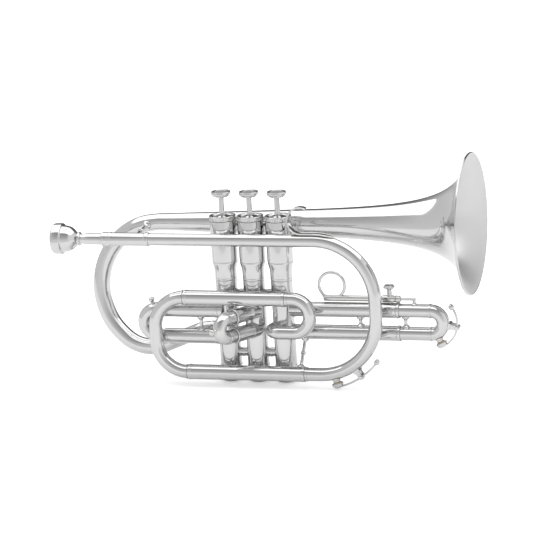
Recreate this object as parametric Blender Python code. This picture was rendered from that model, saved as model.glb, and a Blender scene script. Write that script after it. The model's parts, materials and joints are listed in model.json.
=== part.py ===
"""A B-flat cornet, built piece by piece as it comes apart on a repair bench.

The frame: +X runs from the mouthpiece to the bell, -Y towards the player's right hand, +Z up.
The origin is on the second valve's axis, at the flat bottom of its bottom cap.
All driving sizes are in millimetres and become metres when a mesh is made.
"""

import math

import bmesh
import bpy
from mathutils import Matrix, Vector

MM = 0.001
X = Vector((1, 0, 0))
Y = Vector((0, 1, 0))
Z = Vector((0, 0, 1))

# How finely round pieces are faceted, and the clearance kept between neighbours.
TUBE_SIDES = 10
CASING_SIDES = 14
BELL_SIDES = 18
SMALL_SIDES = 8
GAP = 0.3

# Valve group. Heights are above the flat bottom of the bottom caps.
VALVE_SPACING = 24.5
CASING_RADIUS = 9.3
CASING_BORE = 8.5
BARREL_RADIUS = 11.0
BARREL_BORE = 10.2
CASING_BOTTOM = 3.0
TAPER_START = 90.0
TAPER_END = 109.0
SPRING_SEAT = 109.4
CASING_TOP = 141.0
CAP_RADIUS = 11.4
CAP_TOP = 145.6
CAP_HOLE = 2.8
PISTON_BOTTOM = 18.2
PISTON_TOP = 92.0
PISTON_SHANK = 4.2
PISTON_HEAD_BOTTOM = 133.4
PISTON_HEAD_TOP = 136.2
PORT_RADIUS = 5.2
PORT_HEIGHTS = (42.0, 58.0, 75.0)
KNUCKLE_Z = 75.0
LOWER_KNUCKLE_Z = 26.0
STEM_RADIUS = 2.35
BUTTON_BOTTOM = 160.8
BUTTON_TOP = 165.8
BUTTON_RADIUS = 8.4
PEARL_RADIUS = 6.1
VALVE_SPRING_TURNS = 4
VALVE_SPRING_RADIUS = 9.3
VALVE_SPRING_WIRE = 0.5

# Slide tubing: every sleeve takes an inner leg with GAP all round.
SLEEVE_RADIUS = 6.4
SLEEVE_BORE = 6.0
LEG_RADIUS = 5.7
LEG_BORE = 5.2

# Leadpipe and main tuning slide, all in one plane in front of the valves.
FRONT_Y = -19.5
LEADPIPE_Z = 128.0
UPPER_LEG_Z = 77.7
LOWER_LEG_Z = 12.65
RECEIVER_MOUTH_X = -126.5
RECEIVER_END_X = -84.1
LEADPIPE_START_RADIUS = 5.2
LEADPIPE_END_RADIUS = 5.6
LEADPIPE_WALL = 0.6
FRONT_CROOK_RADIUS = 50.5
FRONT_CROOK_X = 60.1
LOWER_FERRULE_X = 47.0
UPPER_FERRULE_X = 33.0
TUNING_SLEEVE_END_X = -56.5
TUNING_BOW_RADIUS = 26.5
TUNING_LEG_END_X = 5.0

# Mouthpiece, by distance along +X from the face of its rim.
MOUTHPIECE_RIM_X = -170.3
MOUTHPIECE_SHANK_END = 64.5

# Entry crook, from the tuning slide's upper sleeve round to the third valve.
ENTRY_TURN_X = 38.8
ENTRY_Z = 48.5
ENTRY_IN_X = 26.5
ENTRY_IN_RADIUS = 9.0

# First, second and third valve slides.
FIRST_Y = -7.2
FIRST_LEVELS = (64.0, 40.8)
FIRST_SLEEVE_END_X = -80.0
FIRST_BOW_X = -86.4
FIRST_LEG_END_X = -44.0
SECOND_ANGLE = 30.0
SECOND_OFFSET = 4.0
SECOND_LEVELS = (63.4, 47.4)
SECOND_SLEEVE_END = 30.0
SECOND_LEG_END = 14.0
SECOND_BOW_START = 37.5
THIRD_LEVELS = (64.3, 44.5)
THIRD_SLEEVE_END_X = 126.5
THIRD_BOW_X = 152.9
THIRD_LEG_END_X = 76.0
FIXED_BRACE_X = 92.0
MOVING_BRACE_X = 131.0

# Adjustable finger ring on the third slide's stop rod.
RING_X = 68.4
RING_Z = 85.3
RING_RADIUS = 11.2
RING_WIRE = 1.3
RING_TUBE_Z = 74.3
RING_TUBE_RADIUS = 2.5
RING_TUBE_START_X = 61.0
RING_BARREL_X = 112.0
RING_COLLAR_X = 121.7
RING_COLLAR_END_X = 127.5
ROD_RADIUS = 1.2
ROD_START_X = 84.0
ROD_FOOT_X = 139.0
THUMB_SCREW_X = 118.0

# Bell: straight along +X behind the valves, with a looped tail into the first valve.
BELL_Y = 23.5
BELL_Z = 133.6
BELL_RIM_X = 185.8
BELL_RIM_RADIUS = 60.0
BELL_THROAT = 6.0
BELL_FLARE_OFFSET = 16.85
BELL_FLARE_REACH = 150.0
BELL_CONE_LENGTH = 120.0
BELL_WALL = 0.7
BELL_TAIL_Y = 6.2
BELL_TAIL_Z = 44.0
BELL_TAIL_RADIUS = 6.5
BELL_LOOP_RADIUS = 7.4
BELL_STATIONS = (0.25, 0.5, 0.68, 0.8, 0.88, 0.93, 0.96, 0.98, 0.992, 1.0)

# Water keys: angles are measured round the bend from straight down towards +X.
KEY_WIDTH = 3.6
KEY_THICKNESS = 1.6
KEY_CUP_RADIUS = 5.0
KEY_HUB_RADIUS = 2.3
KEY_PIN_RADIUS = 1.0

# Little-finger hook and braces.
HOOK_X = 50.0
HOOK_RADIUS = 12.0
HOOK_WIDTH = 8.0
HOOK_THICKNESS = 1.6
BRACE_RADIUS = 2.2
BRACE_FLANGE = 4.4
BELL_BRACE_X = -99.0

SILVER = (0.80, 0.80, 0.79)
STEEL = (0.55, 0.56, 0.58)
PEARL = (0.90, 0.89, 0.84)
CORK = (0.55, 0.38, 0.22)
MONEL = (0.62, 0.61, 0.58)


def clear_scene():
    for obj in list(bpy.data.objects):
        bpy.data.objects.remove(obj, do_unlink=True)


def make_material(name, colour, roughness, metallic):
    material = bpy.data.materials.new(name)
    material.use_nodes = True
    shader = material.node_tree.nodes["Principled BSDF"]
    shader.inputs["Base Color"].default_value = (*colour, 1)
    shader.inputs["Roughness"].default_value = roughness
    shader.inputs["Metallic"].default_value = metallic
    return material


def add_object(name, points, faces, look, origin=(0, 0, 0)):
    """One object from world points in millimetres, with its own origin."""
    origin = Vector(origin)
    mesh = bpy.data.meshes.new(name)
    mesh.from_pydata([(Vector(p) - origin) * MM for p in points], [], faces)
    work = bmesh.new()
    work.from_mesh(mesh)
    bmesh.ops.recalc_face_normals(work, faces=work.faces)
    work.to_mesh(mesh)
    work.free()
    mesh.shade_smooth()
    mesh.set_sharp_from_angle(angle=math.radians(38))
    mesh.materials.append(look)
    obj = bpy.data.objects.new(name, mesh)
    obj.location = origin * MM
    bpy.context.scene.collection.objects.link(obj)
    return obj


class Route:
    """A centre line made of straights and bends."""

    def __init__(self, start, heading):
        self.points = [Vector(start)]
        self.heading = Vector(heading).normalized()

    def straight(self, length, steps=1):
        start = self.points[-1].copy()
        for step in range(1, steps + 1):
            self.points.append(start + self.heading * (length * step / steps))
        return self

    def bend(self, axis, degrees, radius, steps):
        """Turns about the axis, anticlockwise for a viewer the axis points at."""
        start = self.points[-1].copy()
        centre = start + axis.cross(self.heading) * radius
        for step in range(1, steps + 1):
            turn = Matrix.Rotation(math.radians(degrees * step / steps), 3, axis)
            self.points.append(centre + turn @ (start - centre))
        self.heading = turn @ self.heading
        return self


def frames_along(points, side):
    """A (side, up) pair at every point, carried along without twisting."""
    frames = []
    for i, point in enumerate(points):
        ahead = points[min(i + 1, len(points) - 1)]
        behind = points[max(i - 1, 0)]
        tangent = (ahead - behind).normalized()
        side = (side - tangent * side.dot(tangent)).normalized()
        frames.append((side.copy(), tangent.cross(side)))
    return frames


def ring(centre, side, up, radius, sides):
    turns = (2 * math.pi * (i + 0.5) / sides for i in range(sides))
    return [centre + side * (radius * math.cos(t)) + up * (radius * math.sin(t)) for t in turns]


def wall_faces(first, second, sides):
    """Quads between two rings that start at the given point numbers."""
    return [
        (first + i, first + (i + 1) % sides, second + (i + 1) % sides, second + i)
        for i in range(sides)
    ]


def tube(name, route, outer, bore, look, sides=TUBE_SIDES, side=Y, origin=None):
    """An open-ended tube along the route; outer and bore are lists, one radius per point."""
    centres = route.points
    outer = outer if isinstance(outer, list) else [outer] * len(centres)
    bore = bore if isinstance(bore, list) else [bore] * len(centres)
    points, faces = [], []
    for (axis_side, up), centre, out, hole in zip(frames_along(centres, side), centres, outer, bore):
        points += ring(centre, axis_side, up, out, sides)
        points += ring(centre, axis_side, up, hole, sides)
    per_station = 2 * sides
    for i in range(len(centres) - 1):
        a, b = i * per_station, (i + 1) * per_station
        faces += wall_faces(a, b, sides)
        faces += [face[::-1] for face in wall_faces(a + sides, b + sides, sides)]
    last = (len(centres) - 1) * per_station
    faces += wall_faces(sides, 0, sides)
    faces += wall_faces(last, last + sides, sides)
    return add_object(name, points, faces, look, origin or centres[0])


def rod(name, route, radius, look, sides=SMALL_SIDES, side=Y, origin=None):
    """A solid bar along the route."""
    centres = route.points
    radius = radius if isinstance(radius, list) else [radius] * len(centres)
    points, faces = [], []
    for (axis_side, up), centre, r in zip(frames_along(centres, side), centres, radius):
        points += ring(centre, axis_side, up, r, sides)
    for i in range(len(centres) - 1):
        faces += wall_faces(i * sides, (i + 1) * sides, sides)
    last = (len(centres) - 1) * sides
    faces += [tuple(range(sides))[::-1], tuple(range(last, last + sides))]
    return add_object(name, points, faces, look, origin or centres[0])


def turned(name, profile, foot, look, axis=Z, sides=CASING_SIDES):
    """A lathe-turned piece: the profile is a loop of (radius, distance along the axis)."""
    foot = Vector(foot)
    spin = Z.rotation_difference(axis).to_matrix()
    points, rings = [], []
    for radius, height in profile:
        rings.append((len(points), radius > 0))
        centre = foot + axis * height
        if radius > 0:
            points += ring(centre, spin @ X, spin @ Y, radius, sides)
        else:
            points.append(centre)
    faces = []
    for (a, a_round), (b, b_round) in zip(rings, rings[1:] + rings[:1]):
        if a_round and b_round:
            faces += wall_faces(a, b, sides)
        elif a_round:
            faces += [(a + i, a + (i + 1) % sides, b) for i in range(sides)]
        elif b_round:
            faces += [(a, b + (i + 1) % sides, b + i) for i in range(sides)]
    return add_object(name, points, faces, look, foot)


def plate(name, outline, thickness_from, thickness_to, look, origin=(0, 0, 0)):
    """A flat piece cut to an outline of (x, z) and thick along Y."""
    count = len(outline)
    points = [(x, thickness_from, z) for x, z in outline]
    points += [(x, thickness_to, z) for x, z in outline]
    faces = [tuple(range(count)), tuple(range(2 * count - 1, count - 1, -1))]
    faces += wall_faces(0, count, count)
    return add_object(name, points, faces, look, origin)


def boolean(obj, other, operation):
    modifier = obj.modifiers.new(f"{operation}_{other.name}"[:60], "BOOLEAN")
    modifier.operation = operation
    modifier.object = other
    other.hide_render = True
    other.display_type = "WIRE"
    return obj


def cut(obj, *cutters):
    for cutter in cutters:
        boolean(obj, cutter, "DIFFERENCE")
    return obj


def join(obj, *others):
    for other in others:
        boolean(obj, other, "UNION")
    return obj


def hidden_cylinder(name, start, end, radius, sides=TUBE_SIDES, side=Y):
    """A cutter: a plain bar that stays out of the build."""
    reach = Vector(end) - Vector(start)
    route = Route(start, reach).straight(reach.length)
    bar = rod(name, route, radius, bpy.data.materials["cutter"], sides, side)
    bar.hide_render = True
    bar.display_type = "WIRE"
    return bar


def valve_x(number):
    return (number - 2) * VALVE_SPACING


def casing_cutter(number):
    """Clears a tube's end to fit the outside of a valve casing."""
    name = f"clear_casing_{number}"
    if name in bpy.data.objects:
        return bpy.data.objects[name]
    x = valve_x(number)
    profile = [(0, 12), (CASING_RADIUS + GAP, 12), (CASING_RADIUS + GAP, 87), (0, 87)]
    cutter = turned(name, profile, (x, 0, 0), bpy.data.materials["cutter"])
    cutter.hide_render = True
    cutter.display_type = "WIRE"
    return cutter


# ---------------------------------------------------------------- valve group


def valve_casing(number, ports, look):
    """Casing with the wider spring barrel on top, its bore stepped for the spring seat."""
    profile = [
        (CASING_BORE, CASING_BOTTOM),
        (CASING_RADIUS, CASING_BOTTOM),
        (CASING_RADIUS, TAPER_START),
        (BARREL_RADIUS, TAPER_END),
        (BARREL_RADIUS, CASING_TOP),
        (BARREL_BORE, CASING_TOP),
        (BARREL_BORE, SPRING_SEAT),
        (CASING_BORE, SPRING_SEAT),
    ]
    foot = Vector((valve_x(number), 0, 0))
    casing = turned(f"valve_{number}_casing", profile, foot, look)
    for index, (height, degrees) in enumerate(ports):
        heading = Vector((math.cos(math.radians(degrees)), math.sin(math.radians(degrees)), 0))
        start = foot + Z * height + heading * (CASING_BORE - 4)
        end = foot + Z * height + heading * (CASING_RADIUS + 3)
        name = f"casing_{number}_port_{index}"
        cut(casing, hidden_cylinder(name, start, end, PORT_RADIUS - 0.7, SMALL_SIDES, Z))
    return casing


def valve_caps(number, look):
    x = valve_x(number)
    top = [
        (CAP_HOLE, CASING_TOP + 0.9),
        (BARREL_BORE - 1.4, CASING_TOP + 0.4),
        (BARREL_BORE - 1.2, CASING_TOP - 3.5),
        (BARREL_BORE - GAP, CASING_TOP - 3.5),
        (BARREL_BORE - GAP, CASING_TOP + GAP),
        (CAP_RADIUS, CASING_TOP + GAP),
        (CAP_RADIUS, CASING_TOP + 2.4),
        (CAP_RADIUS - 1.6, CASING_TOP + 3.1),
        (5.0, CAP_TOP - 0.5),
        (CAP_HOLE, CAP_TOP),
    ]
    turned(f"valve_{number}_top_cap", top, (x, 0, 0), look)
    bottom = [
        (0, 0),
        (7.2, 0),
        (10.4, 2.0),
        (10.4, 9.0),
        (CASING_RADIUS + GAP, 9.0),
        (CASING_RADIUS + GAP, CASING_BOTTOM - 0.5),
        (0, CASING_BOTTOM - 0.5),
    ]
    turned(f"valve_{number}_bottom_cap", bottom, (x, 0, 0), look)


def valve_piston(number, look):
    """Piston body with three windways bored across it, and the head that its spring lifts."""
    x = valve_x(number)
    profile = [
        (0, PISTON_BOTTOM),
        (CASING_BORE - GAP, PISTON_BOTTOM),
        (CASING_BORE - GAP, PISTON_TOP),
        (PISTON_SHANK, PISTON_TOP),
        (PISTON_SHANK, PISTON_HEAD_BOTTOM),
        (BARREL_BORE - 0.5, PISTON_HEAD_BOTTOM),
        (BARREL_BORE - 0.5, PISTON_HEAD_TOP),
        (0, PISTON_HEAD_TOP),
    ]
    piston = turned(f"valve_{number}_piston", profile, (x, 0, 0), look)
    for index, height in enumerate(PORT_HEIGHTS):
        turn = math.radians(60 * index)
        across = Vector((math.cos(turn), math.sin(turn), 0)) * (CASING_RADIUS + 2)
        middle = Vector((x, 0, height))
        name = f"piston_{number}_windway_{index}"
        cut(piston, hidden_cylinder(name, middle - across, middle + across, PORT_RADIUS, SMALL_SIDES, Z))
    return piston


def valve_button(number, metal, pearl):
    """Stem and finger button in one piece, with a pearl let into the top."""
    foot = (valve_x(number), 0, 0)
    profile = [
        (0, PISTON_HEAD_TOP + GAP),
        (STEM_RADIUS, PISTON_HEAD_TOP + GAP),
        (STEM_RADIUS, BUTTON_BOTTOM),
        (BUTTON_RADIUS - 1.2, BUTTON_BOTTOM),
        (BUTTON_RADIUS, BUTTON_BOTTOM + 1.4),
        (BUTTON_RADIUS, BUTTON_TOP - 0.8),
        (BUTTON_RADIUS - 0.8, BUTTON_TOP),
        (PEARL_RADIUS + GAP, BUTTON_TOP),
        (PEARL_RADIUS + GAP, BUTTON_TOP - 1.8),
        (0, BUTTON_TOP - 1.8),
    ]
    turned(f"valve_{number}_button", profile, foot, metal, sides=12)
    inlay = [
        (0, BUTTON_TOP - 1.5),
        (PEARL_RADIUS, BUTTON_TOP - 1.5),
        (PEARL_RADIUS, BUTTON_TOP - 0.3),
        (PEARL_RADIUS - 2.2, BUTTON_TOP),
        (0, BUTTON_TOP),
    ]
    turned(f"valve_{number}_pearl", inlay, foot, pearl, sides=12)


def coil(name, foot, axis, side, radius, wire, height, turns, look, steps_per_turn=8):
    """A coil spring; its wire centre line is a helix about the axis."""
    foot = Vector(foot)
    up = axis.cross(side)
    route = Route(foot, axis)
    count = round(turns * steps_per_turn)
    route.points = []
    for step in range(count + 1):
        angle = 2 * math.pi * turns * step / count
        around = side * math.cos(angle) + up * math.sin(angle)
        route.points.append(foot + around * radius + axis * (height * step / count))
    return rod(name, route, wire, look, sides=4, side=side, origin=foot)


def valve_spring(number, look):
    low = SPRING_SEAT + VALVE_SPRING_WIRE + GAP
    high = PISTON_HEAD_BOTTOM - VALVE_SPRING_WIRE - GAP
    coil(f"valve_{number}_spring", (valve_x(number), 0, low), Z, X, VALVE_SPRING_RADIUS,
         VALVE_SPRING_WIRE, high - low, VALVE_SPRING_TURNS, look)


def knuckle(first, second, height, radius, look):
    """Short cross tube between two neighbouring casings, hollow where it carries the wind."""
    start = Vector((valve_x(first) + 6, 0, height))
    length = VALVE_SPACING - 12
    level = "upper" if height > 50 else "lower"
    name = f"knuckle_{first}_{second}_{level}"
    route = Route(start, X).straight(length)
    if level == "upper":
        piece = tube(name, route, radius, radius - 0.9, look)
    else:
        piece = rod(name, route, radius, look)
    cut(piece, casing_cutter(first), casing_cutter(second))


def valve_group(silver, monel, steel, pearl):
    ports = {
        1: ((FIRST_LEVELS[0], 217), (FIRST_LEVELS[1], 217), (BELL_TAIL_Z, 148), (KNUCKLE_Z, 0)),
        2: ((SECOND_LEVELS[0], 240), (SECOND_LEVELS[1], 240), (KNUCKLE_Z, 0), (KNUCKLE_Z, 180)),
        3: ((THIRD_LEVELS[0], 0), (THIRD_LEVELS[1], 0), (ENTRY_Z, 226), (KNUCKLE_Z, 180)),
    }
    for number in (1, 2, 3):
        valve_casing(number, ports[number], silver)
        valve_caps(number, silver)
        valve_piston(number, monel)
        valve_button(number, silver, pearl)
        valve_spring(number, steel)
    for first in (1, 2):
        knuckle(first, first + 1, KNUCKLE_Z, 5.9, silver)
        knuckle(first, first + 1, LOWER_KNUCKLE_Z, 3.8, silver)


# ------------------------------------------------------- leadpipe and tuning


def mouthpiece(look):
    """Cup, throat and tapered shank, turned about +X from the rim."""
    end = MOUTHPIECE_SHANK_END
    profile = [
        (8.3, 1.2),
        (10.6, 0),
        (12.6, 0.4),
        (13.2, 2.2),
        (12.6, 4.4),
        (11.2, 6.5),
        (10.2, 11.5),
        (8.4, 16.0),
        (5.4, 19.5),
        (4.3, 21.5),
        (5.6, 23.0),
        (4.0, 25.0),
        (4.9, 29.5),
        (4.8, 44.5),
        (4.2, end),
        (3.5, end),
        (1.9, 17.0),
        (4.6, 11.5),
        (7.4, 5.5),
    ]
    turned("mouthpiece", profile, (MOUTHPIECE_RIM_X, FRONT_Y, LEADPIPE_Z), look, axis=X, sides=14)


def mouthpiece_receiver(look):
    length = RECEIVER_END_X - RECEIVER_MOUTH_X
    profile = [
        (5.2, 0),
        (6.1, 0),
        (6.3, 1.2),
        (6.3, 7.0),
        (5.9, 8.2),
        (5.7, length - 2.5),
        (6.0, length),
        (4.5, length),
        (4.5, 22.0),
    ]
    foot = (RECEIVER_MOUTH_X, FRONT_Y, LEADPIPE_Z)
    turned("mouthpiece_receiver", profile, foot, look, axis=X, sides=TUBE_SIDES)


def leadpipe(look):
    """Tapered pipe and front crook in one length, ending at the lower ferrule."""
    start_x = RECEIVER_END_X + GAP
    drop = LEADPIPE_Z - LOWER_LEG_Z - 2 * FRONT_CROOK_RADIUS
    route = Route((start_x, FRONT_Y, LEADPIPE_Z), X)
    route.straight(FRONT_CROOK_X - start_x, 2)
    route.bend(Y, 90, FRONT_CROOK_RADIUS, 5)
    route.straight(drop)
    route.bend(Y, 90, FRONT_CROOK_RADIUS, 5)
    route.straight(FRONT_CROOK_X - LOWER_FERRULE_X - GAP)
    last = len(route.points) - 1
    growth = LEADPIPE_END_RADIUS - LEADPIPE_START_RADIUS
    outer = [LEADPIPE_START_RADIUS + growth * min(1, i / 4) for i in range(last + 1)]
    tube("leadpipe", route, outer, [r - LEADPIPE_WALL for r in outer], look)


def tuning_slide(silver):
    """Two sleeves, and the U-shaped bow whose legs slide in them."""
    for name, level, end in (
        ("tuning_slide_lower_sleeve", LOWER_LEG_Z, LOWER_FERRULE_X),
        ("tuning_slide_upper_sleeve", UPPER_LEG_Z, UPPER_FERRULE_X),
    ):
        route = Route((TUNING_SLEEVE_END_X, FRONT_Y, level), X)
        route.straight(end - TUNING_SLEEVE_END_X)
        tube(name, route, SLEEVE_RADIUS, SLEEVE_BORE, silver)
    bow_x = TUNING_SLEEVE_END_X - 0.9
    straight = UPPER_LEG_Z - LOWER_LEG_Z - 2 * TUNING_BOW_RADIUS
    route = Route((TUNING_LEG_END_X, FRONT_Y, LOWER_LEG_Z), -X)
    route.straight(TUNING_LEG_END_X - bow_x)
    route.bend(Y, 90, TUNING_BOW_RADIUS, 5)
    route.straight(straight)
    route.bend(Y, 90, TUNING_BOW_RADIUS, 5)
    route.straight(TUNING_LEG_END_X - bow_x)
    tube("tuning_slide_bow", route, LEG_RADIUS, LEG_BORE, silver)


def entry_crook(look):
    """Small turn in front of the third valve, then in through its left front side."""
    turn_radius = (UPPER_LEG_Z - ENTRY_Z) / 2
    route = Route((UPPER_FERRULE_X + GAP, FRONT_Y, UPPER_LEG_Z), X)
    route.straight(ENTRY_TURN_X - UPPER_FERRULE_X - GAP)
    route.bend(Y, 180, turn_radius, 8)
    route.straight(ENTRY_TURN_X - ENTRY_IN_X)
    route.bend(-Z, 104, ENTRY_IN_RADIUS, 5)
    route.straight(3.0)
    crook = tube("entry_crook", route, LEG_RADIUS, LEG_BORE, look)
    cut(crook, casing_cutter(3))


# ------------------------------------------------------------- valve slides


def pull_knob(name, foot, heading, length, look):
    """Small turned knob; it is joined to the bow that it is soldered on."""
    profile = [(0, -1.5), (1.3, -1.5), (1.1, length - 3.2), (2.3, length - 1.6), (1.4, length), (0, length)]
    return turned(name, profile, foot, look, axis=Vector(heading).normalized(), sides=8)


def valve_slide(prefix, number, start, heading, levels, distances, look):
    """Two sleeves standing off a casing, and a bow whose legs slide in them.

    The distances along the heading are: leg end, sleeve end, start of the bow.
    """
    leg_end, sleeve_end, bow_start = distances
    start = Vector(start)
    heading = Vector(heading).normalized()
    across = Z.cross(heading)
    for label, level in zip(("upper", "lower"), levels):
        route = Route(start + Z * level + heading * 2, heading).straight(sleeve_end - 2)
        sleeve = tube(f"{prefix}_{label}_sleeve", route, SLEEVE_RADIUS, SLEEVE_BORE, look, side=across)
        cut(sleeve, casing_cutter(number))
    radius = (levels[0] - levels[1]) / 2
    route = Route(start + Z * levels[0] + heading * leg_end, heading)
    route.straight(bow_start - leg_end)
    route.bend(across, 180, radius, 8)
    route.straight(bow_start - leg_end)
    bow = tube(f"{prefix}_bow", route, LEG_RADIUS, LEG_BORE, look, side=across)
    centre = start + Z * (sum(levels) / 2) + heading * bow_start
    return bow, centre, radius


def first_slide(look):
    start = (valve_x(1), FIRST_Y, 0)
    distances = [valve_x(1) - x for x in (FIRST_LEG_END_X, FIRST_SLEEVE_END_X, FIRST_BOW_X)]
    bow, centre, radius = valve_slide("first_slide", 1, start, -X, FIRST_LEVELS, distances, look)
    outward = Vector((-0.2, 0, 1)).normalized()
    foot = centre + outward * (radius + LEG_RADIUS)
    join(bow, pull_knob("first_slide_knob", foot, outward, 5.2, look))


def second_slide(look):
    turn = math.radians(SECOND_ANGLE)
    heading = Vector((-math.sin(turn), -math.cos(turn), 0))
    aside = Vector((math.cos(turn), -math.sin(turn), 0))
    start = Vector((valve_x(2), 0, 0)) + aside * SECOND_OFFSET
    distances = (SECOND_LEG_END, SECOND_SLEEVE_END, SECOND_BOW_START)
    bow, centre, radius = valve_slide("second_slide", 2, start, heading, SECOND_LEVELS, distances, look)
    foot = centre + heading * (radius + LEG_RADIUS)
    join(bow, pull_knob("second_slide_knob", foot, heading, 5.2, look))


def third_slide(look):
    start = (valve_x(3), 0, 0)
    distances = [x - valve_x(3) for x in (THIRD_LEG_END_X, THIRD_SLEEVE_END_X, THIRD_BOW_X)]
    bow, centre, radius = valve_slide("third_slide", 3, start, X, THIRD_LEVELS, distances, look)
    join(bow, key_nipple("third_nipple", centre, radius, LEG_RADIUS, 24, look))


def brace_between(name, start, end, look, flange=BRACE_FLANGE, radius=BRACE_RADIUS):
    """Turned brace with a flared flange at each end, cut later to fit the tubes."""
    start, end = Vector(start), Vector(end)
    length = (end - start).length
    profile = [
        (0, 0),
        (flange, 0),
        (flange, 1.6),
        (radius, 3.4),
        (radius, length - 3.4),
        (flange, length - 1.6),
        (flange, length),
        (0, length),
    ]
    return turned(name, profile, start, look, axis=(end - start).normalized(), sides=SMALL_SIDES)


def slide_brace(name, x, y, levels, tube_radius, look, flange=3.2):
    """Upright brace between two parallel legs that run along X."""
    brace = brace_between(name, (x, y, levels[1] + 3.5), (x, y, levels[0] - 3.5), look, flange, 1.9)
    for label, level in zip(("upper", "lower"), levels):
        start, end = (x - 12, y, level), (x + 12, y, level)
        cut(brace, hidden_cylinder(f"{name}_clear_{label}", start, end, tube_radius + GAP))
    return brace


# --------------------------------------------------------------- finger ring


def finger_ring(silver):
    """Ring, its sliding tube and the barrel that the thumb screw clamps, as one piece."""
    profile_x = [
        (RING_TUBE_RADIUS - 0.4, RING_TUBE_START_X),
        (RING_TUBE_RADIUS, RING_TUBE_START_X + 1),
        (RING_TUBE_RADIUS, RING_BARREL_X),
        (3.3, RING_BARREL_X),
        (3.3, RING_COLLAR_X),
        (2.9, RING_COLLAR_X + 0.5),
        (2.9, RING_COLLAR_END_X - 0.5),
        (2.4, RING_COLLAR_END_X),
        (ROD_RADIUS + GAP, RING_COLLAR_END_X),
        (ROD_RADIUS + GAP, RING_TUBE_START_X),
    ]
    body = turned("finger_ring", profile_x, (0, 0, RING_TUBE_Z), silver, axis=X, sides=SMALL_SIDES)
    route = Route((RING_X, 0, RING_Z - RING_RADIUS), X)
    route.bend(-Y, 350, RING_RADIUS, 18)
    hoop = rod("ring_hoop", route, RING_WIRE, silver, sides=6)
    closing = Route(route.points[-2], route.points[0] - route.points[-2])
    closing.straight((route.points[1] - route.points[-2]).length)
    bridge = rod("ring_hoop_joint", closing, RING_WIRE + 0.15, silver, sides=6)
    hole = hidden_cylinder("thumb_screw_hole", (THUMB_SCREW_X, 0, RING_TUBE_Z + 0.4),
                           (THUMB_SCREW_X, 0, RING_TUBE_Z + 7.4), 1.5, 8, X)
    join(body, hoop, bridge)
    cut(body, hole)


def thumb_screw(look):
    """Knurled screw that locks the ring on its rod."""
    foot = (THUMB_SCREW_X, 0, RING_TUBE_Z)
    profile = [
        (0, ROD_RADIUS + GAP),
        (1.2, ROD_RADIUS + GAP),
        (1.2, 3.6),
        (2.4, 3.6),
        (2.2, 6.6),
        (4.9, 7.6),
        (4.9, 11.0),
        (4.2, 11.6),
        (0, 11.6),
    ]
    turned("finger_ring_thumb_screw", profile, foot, look, sides=SMALL_SIDES)


def stop_rod(look):
    """Thin rod inside the ring's tube, with a foot down to the moving slide."""
    z = RING_TUBE_Z
    route = Route((ROD_START_X, 0, z), X).straight(ROD_FOOT_X - ROD_START_X + 1.5)
    bar = rod("third_slide_stop_rod", route, ROD_RADIUS, look, sides=8)
    leg_top = THIRD_LEVELS[0] + LEG_RADIUS
    foot = Route((ROD_FOOT_X, 0, leg_top - 0.8), Z).straight(z - leg_top + 2.0)
    join(bar, rod("stop_rod_foot", foot, [2.6, 1.9], look, sides=8, side=X))
    clear = hidden_cylinder("stop_rod_clear", (ROD_FOOT_X - 8, 0, THIRD_LEVELS[0]),
                            (ROD_FOOT_X + 8, 0, THIRD_LEVELS[0]), LEG_RADIUS + GAP)
    cut(bar, clear)


# ---------------------------------------------------------------- water keys


def round_bend(centre, radius, degrees):
    """A point round a bend's centre, by its angle from straight down towards +X."""
    turn = math.radians(degrees)
    return Vector(centre) + Vector((math.sin(turn), 0, -math.cos(turn))) * radius


def key_nipple(name, centre, bend_radius, tube_radius, degrees, look):
    """Drain nipple; it is joined to the tube that it is soldered on."""
    surface = bend_radius + tube_radius
    foot = round_bend(centre, surface - 1.2, degrees)
    outward = (foot - Vector(centre)).normalized()
    profile = [(0, 0), (3.4, 0), (3.0, 3.2), (0, 3.2)]
    return turned(name, profile, foot, look, axis=outward, sides=8)


def bend_cutter(name, centre, bend_radius, tube_radius, start, end):
    """Clears a saddle to sit on the outside of a bend between two angles."""
    route = Route(round_bend(centre, bend_radius, start), X)
    steps = 6
    for step in range(1, steps + 1):
        route.points.append(round_bend(centre, bend_radius, start + (end - start) * step / steps))
    return rod(name, route, tube_radius + GAP, bpy.data.materials["cutter"], TUBE_SIDES)


def arc_outline(centre, radius, start, end, steps=7):
    """Points (x, z) along an arc round a bend's centre."""
    arc = (round_bend(centre, radius, start + (end - start) * step / steps) for step in range(steps + 1))
    return [(point.x, point.z) for point in arc]


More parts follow.
